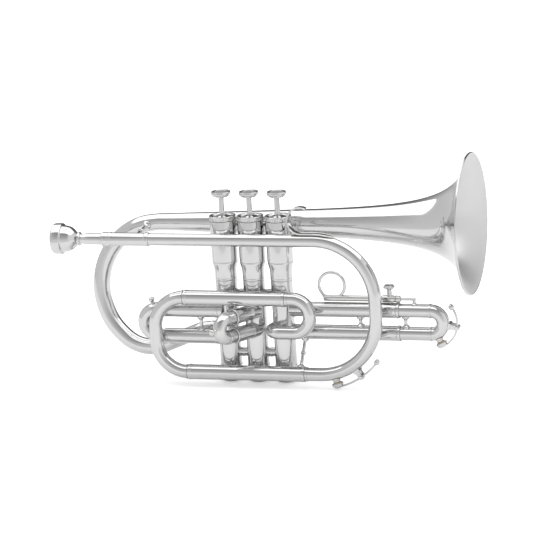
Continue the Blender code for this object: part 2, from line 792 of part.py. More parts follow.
def water_key(prefix, centre, bend_radius, tube_radius, angles, silver, steel, cork_look):
    """Lever with its cup, the cork in the cup, the bracket with its pin, and the coil spring.

    The tube bends about the centre; the angles place the cup, the pivot and the finger tip
    round it.
    """
    surface = bend_radius + tube_radius
    cup_angle, pivot_angle, tip_angle = angles
    centre = Vector(centre)
    arc_radius = surface + 6.6
    pivot = round_bend(centre, arc_radius, pivot_angle)
    cup_foot = round_bend(centre, surface + 2.3, cup_angle)
    outward = (cup_foot - centre).normalized()

    cork = [(0, 0), (3.6, 0), (3.6, 1.9), (0, 1.9)]
    turned(f"{prefix}_cork", cork, cup_foot, cork_look, axis=outward, sides=8)

    cup = [(3.9, 0.8), (KEY_CUP_RADIUS, 0.8), (KEY_CUP_RADIUS, 3.2), (3.0, 5.2),
           (0, 5.2), (0, 2.2), (3.9, 2.2)]
    lever = turned(f"{prefix}_lever", cup, cup_foot, silver, axis=outward, sides=SMALL_SIDES)

    half_thick = KEY_THICKNESS / 2
    inner = arc_outline(centre, arc_radius - half_thick, cup_angle, tip_angle)
    outer = arc_outline(centre, arc_radius + half_thick, cup_angle, tip_angle)
    half = KEY_WIDTH / 2
    arm = plate(f"{prefix}_arm", inner + outer[::-1], centre.y - half, centre.y + half, silver)
    hub_start = Vector((pivot.x, centre.y - half, pivot.z))
    hub = rod(f"{prefix}_hub", Route(hub_start, Y).straight(KEY_WIDTH), KEY_HUB_RADIUS, silver, 8, X)
    tip = round_bend(centre, arc_radius, tip_angle)
    ball = [(0, -2.6), (1.9, -1.7), (2.7, 0), (1.9, 1.7), (0, 2.6)]
    knob = turned(f"{prefix}_ball", ball, tip, silver, axis=(tip - centre).normalized(), sides=8)
    join(lever, arm, hub, knob)
    bore_start = hub_start - Y * 3
    bore = hidden_cylinder(f"{prefix}_bore", bore_start, bore_start + Y * (KEY_WIDTH + 6),
                           KEY_PIN_RADIUS + GAP, 8, X)
    cut(lever, bore)

    seat = bracket(prefix, centre, surface, pivot, pivot_angle, silver)
    reach = math.degrees(9 / surface)
    span = (pivot_angle - reach, pivot_angle + reach)
    cut(seat, bend_cutter(f"{prefix}_clear_tube", centre, bend_radius, tube_radius, *span))
    coil(f"{prefix}_spring", (pivot.x, centre.y + half + 0.9, pivot.z), Y, X, 1.75, 0.3, 1.6, 2, steel)


def bracket(prefix, centre, surface, pivot, pivot_angle, look):
    """Two cheeks on a saddle, with the pin that the lever turns on."""
    outward = (pivot - centre).normalized()
    along = outward.cross(Y)
    front = centre.y - KEY_WIDTH / 2 - 1.4
    back = centre.y + KEY_WIDTH / 2 + 4.0
    base = round_bend(centre, surface - 1.5, pivot_angle)

    def slab(name, foot, top, foot_half, top_half, near, far):
        corners = [foot - along * foot_half, foot + along * foot_half]
        corners += [top + along * top_half, top - along * top_half]
        return plate(name, [(p.x, p.z) for p in corners], near, far, look, base)

    saddle = slab(f"{prefix}_bracket", base, base + outward * 3.2, 3.2, 3.2, front, back)
    foot, top = base + outward * 2.4, pivot + outward * 1.8
    for label, near, far in (("front", front, front + 1.0), ("back", back - 1.0, back)):
        join(saddle, slab(f"{prefix}_cheek_{label}", foot, top, 2.4, 1.4, near, far))
    pin = Route((pivot.x, front - 0.8, pivot.z), Y).straight(back - front + 1.6)
    join(saddle, rod(f"{prefix}_pin", pin, KEY_PIN_RADIUS, look, 8, X))
    return saddle


# ------------------------------------------------------------------ the bell


def flare_radius(distance):
    """Outer radius at a distance back from the rim: a horn curve, then a cone down to the loop."""
    spread = (BELL_RIM_RADIUS - BELL_THROAT) * BELL_FLARE_OFFSET
    reach = min(distance, BELL_FLARE_REACH)
    horn = BELL_THROAT + spread / (reach + BELL_FLARE_OFFSET)
    share = min(1, (distance - reach) / BELL_CONE_LENGTH)
    return horn + (BELL_LOOP_RADIUS - horn) * share


def bell_centre_line():
    """From the first valve round the loop to the rim: the route and its outer radii."""
    route = Route((valve_x(1) - 6, 0, BELL_TAIL_Z), -X)
    route.straight(10.0)
    route.bend(-Y, 22, 40.0, 2)
    route.straight(33.0)
    route.bend(Y, 58, 38.0, 4)
    route.bend(Y, 30, 52.5, 2)
    route.bend(Y, 114, 56.0, 7)
    loop = route.points
    last = len(loop) - 1
    lift = BELL_Z - loop[-1].z
    radii = []
    for i, point in enumerate(loop):
        share = max(0, (i - 2) / (last - 2))
        ease = share * share * (3 - 2 * share)
        point.y = BELL_TAIL_Y + (BELL_Y - BELL_TAIL_Y) * ease
        point.z += lift * share
        radii.append(BELL_TAIL_RADIUS + (BELL_LOOP_RADIUS - BELL_TAIL_RADIUS) * min(1, i / 10))
    start_x = loop[-1].x
    for share in BELL_STATIONS:
        x = start_x + (BELL_RIM_X - start_x) * share
        loop.append(Vector((x, BELL_Y, BELL_Z)))
        radii.append(flare_radius(BELL_RIM_X - x))
    return route, radii


def bell(look):
    """The bell and its looped tail, one length of tube from valve to rim."""
    route, radii = bell_centre_line()
    horn = tube("bell", route, radii, [r - BELL_WALL for r in radii], look, sides=BELL_SIDES)
    cut(horn, casing_cutter(1))


# --------------------------------------------------------- hook and braces


def finger_hook(look):
    """Strip along the leadpipe's top that curls up and back over the little finger."""
    top = LEADPIPE_Z + LEADPIPE_START_RADIUS + GAP
    inner_radius = HOOK_RADIUS - HOOK_THICKNESS
    centre_z = top + HOOK_RADIUS
    outer = [(HOOK_X + 14, top), (HOOK_X, top)]
    inner = [(HOOK_X + 14, top + 0.8), (HOOK_X, top + HOOK_THICKNESS)]
    steps = 9
    for step in range(1, steps + 1):
        turn = math.radians(200 * step / steps)
        outer.append((HOOK_X - HOOK_RADIUS * math.sin(turn), centre_z - HOOK_RADIUS * math.cos(turn)))
        inner.append((HOOK_X - inner_radius * math.sin(turn), centre_z - inner_radius * math.cos(turn)))
    near = FRONT_Y - HOOK_WIDTH / 2
    far = FRONT_Y + HOOK_WIDTH / 2
    plate("little_finger_hook", outer + inner[::-1], near, far, look, (HOOK_X, FRONT_Y, top))


def braces(look):
    slide_brace("first_slide_brace", -47.0, FIRST_Y, FIRST_LEVELS, SLEEVE_RADIUS, look)
    slide_brace("third_slide_fixed_brace", FIXED_BRACE_X, 0, THIRD_LEVELS, SLEEVE_RADIUS, look)
    slide_brace("third_slide_moving_brace", MOVING_BRACE_X, 0, THIRD_LEVELS, LEG_RADIUS, look)

    high = Vector((44.0, 0, THIRD_LEVELS[1]))
    low = Vector((42.0, FRONT_Y, LOWER_LEG_Z))
    towards = (low - high).normalized()
    start, end = high + towards * 5.0, low - towards * 5.0
    brace = brace_between("slide_stay", start, end, look, 3.4, 1.9)
    upper = hidden_cylinder("stay_clear_upper", high - X * 12, high + X * 12, SLEEVE_RADIUS + GAP)
    lower = hidden_cylinder("stay_clear_lower", low - X * 12, low + X * 12, SLEEVE_RADIUS + GAP)
    cut(brace, upper, lower)


def bell_brace(look):
    """Stay from the receiver across to the bell's loop."""
    route, radii = bell_centre_line()
    top = [i for i, p in enumerate(route.points) if abs(p.x - BELL_BRACE_X) < 25 and p.z > 100]
    seat = Route(route.points[top[0]], X)
    seat.points = [route.points[i] for i in top]
    bell_side = rod("brace_clear_bell", seat, [radii[i] + GAP for i in top], look, BELL_SIDES)
    after = next(i for i in top if route.points[i].x > BELL_BRACE_X)
    left, right = route.points[after - 1], route.points[after]
    end = left.lerp(right, (BELL_BRACE_X - left.x) / (right.x - left.x))
    start = Vector((BELL_BRACE_X, FRONT_Y, LEADPIPE_Z))
    towards = (end - start).normalized()
    brace = brace_between("leadpipe_bell_brace", start + towards * 4.4, end - towards * 6.2, look)
    near = hidden_cylinder("brace_clear_receiver", start - X * 12, start + X * 12, 6.0 + GAP)
    cut(brace, near, bell_side)


def main():
    clear_scene()
    silver = make_material("silver_plate", SILVER, 0.16, 1.0)
    monel = make_material("piston_metal", MONEL, 0.30, 1.0)
    steel = make_material("spring_steel", STEEL, 0.35, 1.0)
    pearl = make_material("pearl", PEARL, 0.25, 0.0)
    cork = make_material("cork", CORK, 0.85, 0.0)
    make_material("cutter", STEEL, 1.0, 0.0)

    valve_group(silver, monel, steel, pearl)
    mouthpiece(silver)
    mouthpiece_receiver(silver)
    leadpipe(silver)
    tuning_slide(silver)
    entry_crook(silver)
    first_slide(silver)
    second_slide(silver)
    third_slide(silver)
    braces(silver)
    finger_ring(silver)
    thumb_screw(silver)
    stop_rod(silver)
    bell(silver)
    bell_brace(silver)
    finger_hook(silver)

    crook_centre = (FRONT_CROOK_X, FRONT_Y, LOWER_LEG_Z + FRONT_CROOK_RADIUS)
    join(bpy.data.objects["leadpipe"],
         key_nipple("crook_nipple", crook_centre, FRONT_CROOK_RADIUS, LEADPIPE_END_RADIUS, 14, silver))
    water_key("crook_water_key", crook_centre, FRONT_CROOK_RADIUS, LEADPIPE_END_RADIUS,
              (14, 34.5, 52), silver, steel, cork)
    third_centre = (THIRD_BOW_X, 0, sum(THIRD_LEVELS) / 2)
    third_radius = (THIRD_LEVELS[0] - THIRD_LEVELS[1]) / 2
    water_key("third_water_key", third_centre, third_radius, LEG_RADIUS, (24, 80, 128), silver, steel, cork)


main()
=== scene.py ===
"""Looks for the B-flat cornet: a smooth, detailed piece for every CAD node, silver plate and a studio.

Sizes are in millimetres, in the CAD part's own frame: +X towards the bell, +Z up the valves, -Y towards
the leadpipe. Every piece stands for one CAD node and rides on that node's body.
"""

import json
import math
from itertools import accumulate

import bmesh
import bpy
from mathutils import Matrix, Vector

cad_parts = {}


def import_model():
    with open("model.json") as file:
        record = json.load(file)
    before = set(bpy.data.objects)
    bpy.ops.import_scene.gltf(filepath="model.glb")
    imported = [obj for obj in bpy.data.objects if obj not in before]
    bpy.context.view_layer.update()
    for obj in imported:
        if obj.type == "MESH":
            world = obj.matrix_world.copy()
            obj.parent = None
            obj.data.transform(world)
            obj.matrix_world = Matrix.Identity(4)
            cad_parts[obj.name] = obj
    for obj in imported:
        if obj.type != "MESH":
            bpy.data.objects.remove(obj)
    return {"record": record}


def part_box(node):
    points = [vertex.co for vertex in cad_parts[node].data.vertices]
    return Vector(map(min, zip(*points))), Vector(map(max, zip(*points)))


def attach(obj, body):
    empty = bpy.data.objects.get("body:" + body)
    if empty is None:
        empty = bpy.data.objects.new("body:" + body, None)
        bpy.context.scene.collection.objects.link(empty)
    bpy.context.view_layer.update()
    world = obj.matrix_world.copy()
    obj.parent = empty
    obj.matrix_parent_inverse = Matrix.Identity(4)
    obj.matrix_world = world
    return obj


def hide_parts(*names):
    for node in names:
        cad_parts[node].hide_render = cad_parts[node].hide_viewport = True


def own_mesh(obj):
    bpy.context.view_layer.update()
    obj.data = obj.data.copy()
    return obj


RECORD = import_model()["record"]
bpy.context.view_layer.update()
BODY_OF = {node: body for body, nodes in RECORD["behaviour"]["bodies"].items() for node in nodes}

MM = 0.001
X = Vector((1, 0, 0))
Y = Vector((0, 1, 0))
Z = Vector((0, 0, 1))


def low(node):
    """Lowest corner of a CAD node's box, in millimetres."""
    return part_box(node)[0] / MM


def high(node):
    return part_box(node)[1] / MM


def centre(node):
    return sum(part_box(node), Vector()) / (2 * MM)


def levels(slide):
    """Heights of a slide's upper and lower sleeves."""
    return [centre(f"{slide}_slide_{side}_sleeve").z for side in ("upper", "lower")]


# How finely round pieces are drawn, and how sharp an edge has to be to show, in degrees.
TUBE_SIDES = 36
BELL_SIDES = 96
LATHE_SIDES = 48
BEND_STEP = 4.0
LOOP_STEPS = 6
SHARP = 32
SHARP_KNURL = 26

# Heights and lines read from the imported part.
VALVE_X = {number: centre(f"valve_{number}_casing").x for number in (1, 2, 3)}
FRONT_Y = centre("mouthpiece").y
LEADPIPE_Z = centre("mouthpiece").z
UPPER_LEG_Z, LOWER_LEG_Z = levels("tuning")
CASING_TOP = high("valve_1_casing").z
CAP_TOP = high("valve_1_top_cap").z
BUTTON_TOP = high("valve_1_button").z
FIRST_Y = centre("first_slide_upper_sleeve").y
FIRST_LEVELS = levels("first")
SECOND_LEVELS = levels("second")
THIRD_LEVELS = levels("third")

# Tube sizes: radii, and how far the ring at a sleeve's mouth stands out.
SLEEVE = 6.4
SLEEVE_BORE = 6.0
MOUTH_LIP = 0.38
TIGHT_LIP = 0.12
LEG = 5.7
LEG_BORE = 5.2
LEADPIPE_START = 5.2
LEADPIPE_END = 5.6
LEADPIPE_WALL = 0.6
LEADPIPE_TAPER = 180.0

# Valves.
CASING_RADIUS = 9.3
CASING_BORE = 8.5
CASING_FOOT_Z = 3.0
BARREL_RADIUS = 11.0
BARREL_BORE = 10.2
BARREL_FLOOR_Z = 109.4
SPRING_RADIUS = 9.3
SPRING_WIRE = 0.5
SPRING_TURNS = 4
BUTTON_HEIGHT = 5.0
STEM_RADIUS = 2.35
PISTON_RADIUS = 8.2
PISTON_FOOT_Z = 18.2
PISTON_TOP_Z = 92.0
PISTON_HEAD_Z = (133.4, 136.2)
WINDWAY_LEVELS = (42.0, 58.0, 75.0)
WINDWAY_RADIUS = 5.2
KNUCKLES = (("upper", 75.0, 5.9), ("lower", 26.0, 3.8))

# Bends and ends of the tubes.
RECEIVER_RADIUS = 5.7
RECEIVER_MOUTH_X = -126.5
RECEIVER_END_X = -84.1
FRONT_CROOK_X = 60.1
FRONT_CROOK_RADIUS = 50.5
LOWER_FERRULE_X = 47.0
UPPER_FERRULE_X = 33.0
TUNING_SLEEVE_END_X = -56.5
TUNING_BOW_RADIUS = 26.5
TUNING_LEG_END_X = 5.0
ENTRY_TURN_X = 38.8
ENTRY_Z = 48.5
ENTRY_IN_X = 26.5
ENTRY_IN_RADIUS = 9.0
ENTRY_IN_ANGLE = 125.0
FIRST_SLEEVE_END_X = -80.0
FIRST_BOW_X = -86.4
FIRST_LEG_END_X = -44.0
SECOND_ANGLE = 30.0
SECOND_OFFSET = 4.0
SECOND_SLEEVE_END = 30.0
SECOND_LEG_END = 14.0
SECOND_BOW_START = 37.5
THIRD_SLEEVE_END_X = 126.5
THIRD_BOW_X = 152.9
THIRD_LEG_END_X = 76.0

# Braces.
FIRST_BRACE_X = -47.0
THIRD_FIXED_BRACE_X = 92.0
THIRD_MOVING_BRACE_X = 131.0
STAY_X = (44.0, 42.0)
BRACE_FLANGE = 3.2
BRACE_WAIST = 1.5
BELL_BRACE_X = -99.0

# Finger ring, its screw and its rod.
ROD_Z = 74.3
ROD_RADIUS = 1.2
ROD_START_X = 84.0
ROD_END_X = 140.5
ROD_POST_X = 139.0
RING_X = 68.4
RING_Z = 85.3
RING_RADIUS = 11.2
RING_WIRE = 1.3
SCREW_X = 118.0

# Water keys: middle and outer radius of the bend, and the angles of the cup, pivot and finger end.
CROOK_CENTRE = Vector((FRONT_CROOK_X, FRONT_Y, LOWER_LEG_Z + FRONT_CROOK_RADIUS))
THIRD_CENTRE = Vector((THIRD_BOW_X, 0, sum(THIRD_LEVELS) / 2))
WATER_KEYS = {
    "crook": (CROOK_CENTRE, FRONT_CROOK_RADIUS + LEADPIPE_END, (14, 34.5, 52)),
    "third": (THIRD_CENTRE, (THIRD_LEVELS[0] - THIRD_LEVELS[1]) / 2 + LEG, (24, 80, 128)),
}
KEY_RISE = 6.6

# Little-finger hook.
HOOK_X = 50.0
HOOK_RADIUS = 12.0
HOOK_FOOT = 27.5
HOOK_HALF_WIDTH = 4.0
HOOK_HALF_THICKNESS = 0.78
HOOK_LIFT = 0.8
HOOK_CURL = 200.0

# Bell.
BELL_Y = 23.5
BELL_Z = 133.6
BELL_RIM_X = 185.8
BELL_RIM_RADIUS = 60.0
BELL_THROAT = 6.0
BELL_FLARE_OFFSET = 16.85
BELL_FLARE_REACH = 150.0
BELL_CONE_LENGTH = 120.0
BELL_STATIONS = 150
BELL_WALL = 0.7
RIM_WIRE = 0.95
BELL_TAIL_Y = 6.2
BELL_TAIL_Z = 44.0
BELL_TAIL_RADIUS = 6.5
BELL_LOOP_RADIUS = 7.4

# Colours of the plate.
SILVER_TONE = (0.70, 0.70, 0.70)
TARNISH_TONE = (0.30, 0.28, 0.25)
CORNER_REACH = 3.0  # how far from a corner the tarnish spreads, in millimetres

# Studio, in metres: the floor, the light above, and the walls' brightness as (height, brightness).
FLOOR_FRONT = 0.45
FLOOR_REACH = 9.0
FLOOR_GLOW = (0.08, 0.48)
SOFTBOX_RADIANCE = 1.35
SOFTBOX_WIDTH = 3.2
SOFTBOX_DEPTH = 2.35
SOFTBOX_PLACE = (0.1, 0.34, 1.55)
WALL_FRONT = ((-1, 0.84), (-0.05, 0.80), (0.23, 0.58), (0.5, 0.46), (0.7, 0.40), (0.86, 0.34), (1, 0.3))
WALL_BACK = ((-1, 0.84), (-0.03, 0.80), (0.01, 0.16), (0.62, 0.10), (0.75, 0.16), (1, 0.22))
WALL_LEFT = ((-1, 0.84), (0.0, 0.74), (0.8, 0.68), (1, 0.3))
WALL_RIGHT = ((-1, 0.86), (0.0, 0.90), (0.9, 0.90), (1, 0.6))

# Camera: angles in degrees, lengths in millimetres.
CAMERA_AZIMUTH = 17.5
CAMERA_ELEVATION = 13.5
CAMERA_LEAN = 3.45
CAMERA_TARGET = (20.93, -9.93, 97.33)
CAMERA_DISTANCE = 2268.9
CAMERA_LENS = 177.7


# ---- geometry


class Route:
    """A centre line made of straights and bends."""

    def __init__(self, start, heading):
        self.points = [Vector(start)]
        self.heading = Vector(heading).normalized()

    def straight(self, length, steps=1):
        start = self.points[-1].copy()
        for step in range(1, steps + 1):
            self.points.append(start + self.heading * (length * step / steps))
        return self

    def bend(self, axis, degrees, radius, steps=None):
        """Turns about the axis, anticlockwise for a viewer the axis points at."""
        steps = steps or max(2, round(degrees / BEND_STEP))
        start = self.points[-1].copy()
        middle = start + axis.cross(self.heading) * radius
        for step in range(1, steps + 1):
            turn = Matrix.Rotation(math.radians(degrees * step / steps), 3, axis)
            self.points.append(middle + turn @ (start - middle))
        self.heading = turn @ self.heading
        return self


def arc_point(middle, degrees, radius):
    """A point round a bend's centre, by its angle from straight down towards +X."""
    turn = math.radians(degrees)
    return Vector(middle) + Vector((math.sin(turn), 0, -math.cos(turn))) * radius


def facing(point, towards, distance):
    """A point at a distance from one point towards another."""
    return Vector(point) + (Vector(towards) - Vector(point)).normalized() * distance


def frames_along(points, side, closed=False):
    """A (side, up) pair at every point, carried along without twisting."""
    frames, count = [], len(points)
    for i in range(count):
        ahead = points[(i + 1) % count if closed else min(i + 1, count - 1)]
        behind = points[i - 1 if closed else max(i - 1, 0)]
        tangent = (ahead - behind).normalized()
        side = (side - tangent * side.dot(tangent)).normalized()
        frames.append((side.copy(), tangent.cross(side)))
    return frames


def across_axis(axis):
    """Two directions at right angles to an axis and to each other."""
    spin = Z.rotation_difference(axis).to_matrix()
    return spin @ X, spin @ Y


def ring(middle, side, up, radius, sides):
    turns = (2 * math.pi * i / sides for i in range(sides))
    return [middle + side * (radius * math.cos(t)) + up * (radius * math.sin(t)) for t in turns]


def wall_faces(first, second, sides):
    """Faces between two rings of points, by each ring's first point."""
    pairs = [(i, (i + 1) % sides) for i in range(sides)]
    return [(first + i, first + after, second + after, second + i) for i, after in pairs]


def skin_faces(rings, sides, closed=False):
    """Faces of a solid made of rings of points, with flat ends unless it closes on itself."""
    faces = []
    for i in range(rings if closed else rings - 1):
        faces += wall_faces(i * sides, (i + 1) % rings * sides, sides)
    if not closed:
        last = (rings - 1) * sides
        faces += [tuple(range(sides))[::-1], tuple(range(last, last + sides))]
    return faces


def tube(centres, outer, bore, sides=TUBE_SIDES, side=Y):
    """An open tube along a line of points, with flat ends and an outer radius and bore for each."""
    points, faces = [], []
    for (across, up), middle, *radii in zip(frames_along(centres, side), centres, outer, bore):
        for radius in radii:
            points += ring(middle, across, up, radius, sides)
    for i in range(len(centres) - 1):
        a, b = 2 * i * sides, 2 * (i + 1) * sides
        faces += wall_faces(a, b, sides)
        faces += [face[::-1] for face in wall_faces(a + sides, b + sides, sides)]
    last = (len(centres) - 1) * 2 * sides
    return points, faces + wall_faces(sides, 0, sides) + wall_faces(last, last + sides, sides)


def leg_tube(route, side=Y):
    """An inner slide tube along a route."""
    count = len(route.points)
    return tube(route.points, [LEG] * count, [LEG_BORE] * count, side=side)


def bar(centres, radius, sides=16, side=Y, closed=False):
    """A round bar along a line of points; a hoop's line ends on its first point."""
    centres = centres[:-1] if closed else centres
    points = []
    for (across, up), middle in zip(frames_along(centres, side, closed), centres):
        points += ring(middle, across, up, radius, sides)
    return points, skin_faces(len(centres), sides, closed)


def lathe(profile, foot, axis=Z, sides=LATHE_SIDES):
    """A turned shape: the profile is a closed loop of (radius, distance along the axis)."""
    foot, axis = Vector(foot), Vector(axis).normalized()
    across, up = across_axis(axis)
    points, rings, faces = [], [], []
    for radius, height in profile:
        rings.append((len(points), radius > 0))
        middle = foot + axis * height
        points += ring(middle, across, up, radius, sides) if radius > 0 else [middle]
    for (a, a_round), (b, b_round) in zip(rings, rings[1:] + rings[:1]):
        if a_round and b_round:
            faces += wall_faces(a, b, sides)
        elif a_round:
            faces += [(a + i, a + (i + 1) % sides, b) for i in range(sides)]
        elif b_round:
            faces += [(a, b + (i + 1) % sides, b + i) for i in range(sides)]
    return points, faces


def rounded(corners, radius, steps):
    """The profile with its corners rounded; a corner may be (r, h, own radius)."""
    result = []
    for i, corner in enumerate(corners):
        here = Vector(corner[:2])
        ease = corner[2] if len(corner) > 2 else radius
        before, after = Vector(corners[i - 1][:2]), Vector(corners[(i + 1) % len(corners)][:2])
        reach = min(ease, (before - here).length * 0.45, (after - here).length * 0.45)
        if reach < 0.02 or here.x <= 0:
            result.append((here.x, here.y))
            continue
        start, end = facing(here, before, reach), facing(here, after, reach)
        for t in (step / steps for step in range(steps + 1)):
            point = start * (1 - t) ** 2 + here * (2 * t * (1 - t)) + end * t * t
            result.append((max(point.x, 0.01), point.y))
    return result


def turned(profile, foot, axis=Z, sides=LATHE_SIDES, radius=0.3, steps=3):
    """A turned shape with its corners rounded."""
    return lathe(rounded(profile, radius, steps), foot, axis, sides)


def curve_through(points, steps):
    """A smooth line through all the points, with so many steps from each to the next."""
    points = [Vector(point) for point in points]
    line = []
    for i in range(len(points) - 1):
        before, after = points[max(i - 1, 0)], points[min(i + 2, len(points) - 1)]
        a, b = points[i], points[i + 1]
        for t in (step / steps for step in range(steps)):
            square = (2 * before - 5 * a + 4 * b - after) * t * t
            cube = (3 * a - before - 3 * b + after) * t ** 3
            line.append(0.5 * (2 * a + (b - before) * t + square + cube))
    return line + [points[-1]]


def knurl(radius, depth, low_end, high_end, foot, axis=Z, teeth=40):
    """A hollow ring of fine upright teeth round an axis."""
    foot = Vector(foot)
    across, up = across_axis(axis)
    points, sides = [], teeth * 4
    inset = min(0.35, (high_end - low_end) * 0.2)
    for height, cut in ((low_end, depth), (low_end + inset, 0), (high_end - inset, 0), (high_end, depth)):
        for i in range(sides):
            turn = 2 * math.pi * i / sides
            out = radius - cut - (depth if i % 4 in (2, 3) else 0)
            out = max(out, radius - 1.6 * depth)
            points.append(foot + axis * height + (across * math.cos(turn) + up * math.sin(turn)) * out)
    for height in (high_end, low_end):
        points += ring(foot + axis * height, across, up, radius - 2 * depth - 0.3, sides)
    return points, skin_faces(6, sides, closed=True)


def slab(outline, near, far):
    """A flat piece cut to an outline in X and Z, and thick along Y."""
    count = len(outline)
    points = [Vector((p.x, y, p.z)) for y in (near, far) for p in outline]
    faces = [tuple(range(count)), tuple(range(2 * count - 1, count - 1, -1))]
    return points, faces + wall_faces(0, count, count)


def strip(rows, squareness, around=20):
    """A strip with rounded sections, from rows of (middle, outward, half width, half thickness)."""
    points = []
    for middle, outward, half_width, half_thick in rows:
        for turn in (2 * math.pi * i / around for i in range(around)):
            across = math.copysign(abs(math.cos(turn)) ** squareness, math.cos(turn)) * half_width
            rise = math.copysign(abs(math.sin(turn)) ** 0.6, math.sin(turn)) * half_thick
            points.append(middle + Y * across + outward * rise)
    return points, skin_faces(len(rows), around)


def coil(foot, axis, side, radius, wire, height, turns, steps_per_turn=28):
    up = axis.cross(side)
    count = round(turns * steps_per_turn)
    line = []
    for step in range(count + 1):
        angle = 2 * math.pi * turns * step / count
        around = side * math.cos(angle) + up * math.sin(angle)
        line.append(Vector(foot) + around * radius + axis * (height * step / count))
    return bar(line, wire, 8, side)


def saddled(profile, start, end, seats, sides=32):
    """A turned stay whose end discs bend to hug the tubes they are soldered on.

    Each seat is (tube direction, tube radius) for the start and for the end.
    """
    start, end = Vector(start), Vector(end)
    axis, length = (end - start).normalized(), (end - start).length
    points, faces = lathe(profile, start, axis, sides)
    for point in points:
        reach = (point - start).dot(axis)
        outward = point - start - axis * reach
        near_start = reach < length / 2
        direction, radius = seats[0] if near_start else seats[1]
        offset = abs(outward.dot(axis.cross(direction).normalized()))
        share = max(0.0, 1 - min(reach, length - reach) / 3.2)
        sag = radius - math.sqrt(max(radius * radius - min(offset, radius * 0.98) ** 2, 0.0))
        point -= axis * (sag * share if near_start else -sag * share)
    return points, faces


# ---- pieces


def add_object(name, data):
    obj = bpy.data.objects.new(name, data)
    bpy.context.scene.collection.objects.link(obj)
    return obj


def make_mesh(name, points, faces):
    """A mesh from points in millimetres, with its faces turned outwards."""
    mesh = bpy.data.meshes.new(name)
    mesh.from_pydata([point * MM for point in points], [], faces)
    work = bmesh.new()
    work.from_mesh(mesh)
    bmesh.ops.recalc_face_normals(work, faces=work.faces)
    work.to_mesh(mesh)
    work.free()
    return mesh


def show(node, parts, look, sharp=SHARP, bevel=0.0):
    """One object made of closed shells; it stands for the node and rides on the node's body."""
    points, faces = [], []
    for part_points, part_faces in parts:
        faces += [tuple(len(points) + i for i in face) for face in part_faces]
        points += part_points
    mesh = make_mesh(f"{node}.look", points, faces)
    mesh.shade_smooth()
    mesh.set_sharp_from_angle(angle=math.radians(sharp))
    mesh.materials.append(look)
    obj = add_object(mesh.name, mesh)
    if bevel:
        modifier = obj.modifiers.new("eased_edges", "BEVEL")
        modifier.width = bevel * MM
        modifier.segments = 3
        modifier.limit_method = "ANGLE"
        modifier.angle_limit = math.radians(40)
    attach(obj, BODY_OF[node])
    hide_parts(node)
    return obj


# ---- materials


class Wiring:
    """A short way to add and link the nodes of a tree."""

    def __init__(self, tree):
        self.tree = tree

    def put(self, socket, value):
        """Links another node's output to the socket, or sets a plain value or colour."""
        if isinstance(value, bpy.types.NodeSocket):
            self.tree.links.new(value, socket)
        else:
            socket.default_value = (*value, 1) if socket.type == "RGBA" else value

    def add(self, kind, inputs=None, **settings):
        """A node with its settings, and its inputs filled by name or by number."""
        node = self.tree.nodes.new(kind)
        for key, value in settings.items():
            setattr(node, key, value)
        for key, value in (inputs or {}).items():
            self.put(node.inputs[key], value)
        return node

    def spread(self, value, low_in, high_in, low_out, high_out):
        """Maps a value from one range to another, held inside it."""
        ends = {"From Min": low_in, "From Max": high_in, "To Min": low_out, "To Max": high_out}
        return self.add("ShaderNodeMapRange", {"Value": value, **ends}).outputs["Result"]

    def maths(self, operation, first, second):
        return self.add("ShaderNodeMath", {0: first, 1: second}, operation=operation).outputs["Value"]

    def mix(self, share, first, second):
        """A colour between two colours; the node's colours are its sockets 6 and 7, and output 2."""
        return self.add("ShaderNodeMix", {0: share, 6: first, 7: second}, data_type="RGBA").outputs[2]

    def camera_ray(self):
        return self.add("ShaderNodeLightPath").outputs["Is Camera Ray"]


class Nodes(Wiring):
    """The node tree of a material, with textures placed in the part's own metres."""

    def __init__(self, name):
        self.material = bpy.data.materials.new(name)
        self.material.use_nodes = True
        super().__init__(self.material.node_tree)
        self.shader = self.tree.nodes["Principled BSDF"]
        self.place = self.add("ShaderNodeTexCoord").outputs["Object"]

    def stretched(self, scale):
        """Object coordinates with each axis scaled on its own, for grain that runs one way."""
        return self.add("ShaderNodeMapping", {"Vector": self.place, "Scale": scale}).outputs["Vector"]

    def noise(self, scale, detail, roughness, where=None):
        inputs = {"Vector": where or self.place, "Scale": scale, "Detail": detail, "Roughness": roughness}
        return self.add("ShaderNodeTexNoise", inputs).outputs["Fac"]

    def bump(self, height, strength, distance, before=None):
        """Fine relief, on top of another bump's if one is given."""
        inputs = {"Height": height, "Strength": strength, "Distance": distance * MM}
        if before:
            inputs["Normal"] = before
        return self.add("ShaderNodeBump", inputs).outputs["Normal"]

    def finish(self, **inputs):
        """Sets the shader's inputs by name and gives the material."""
        for key, value in inputs.items():
            self.put(self.shader.inputs[key.replace("_", " ")], value)
        return self.material


def darker(tone, share):
    return tuple(level * share for level in tone)


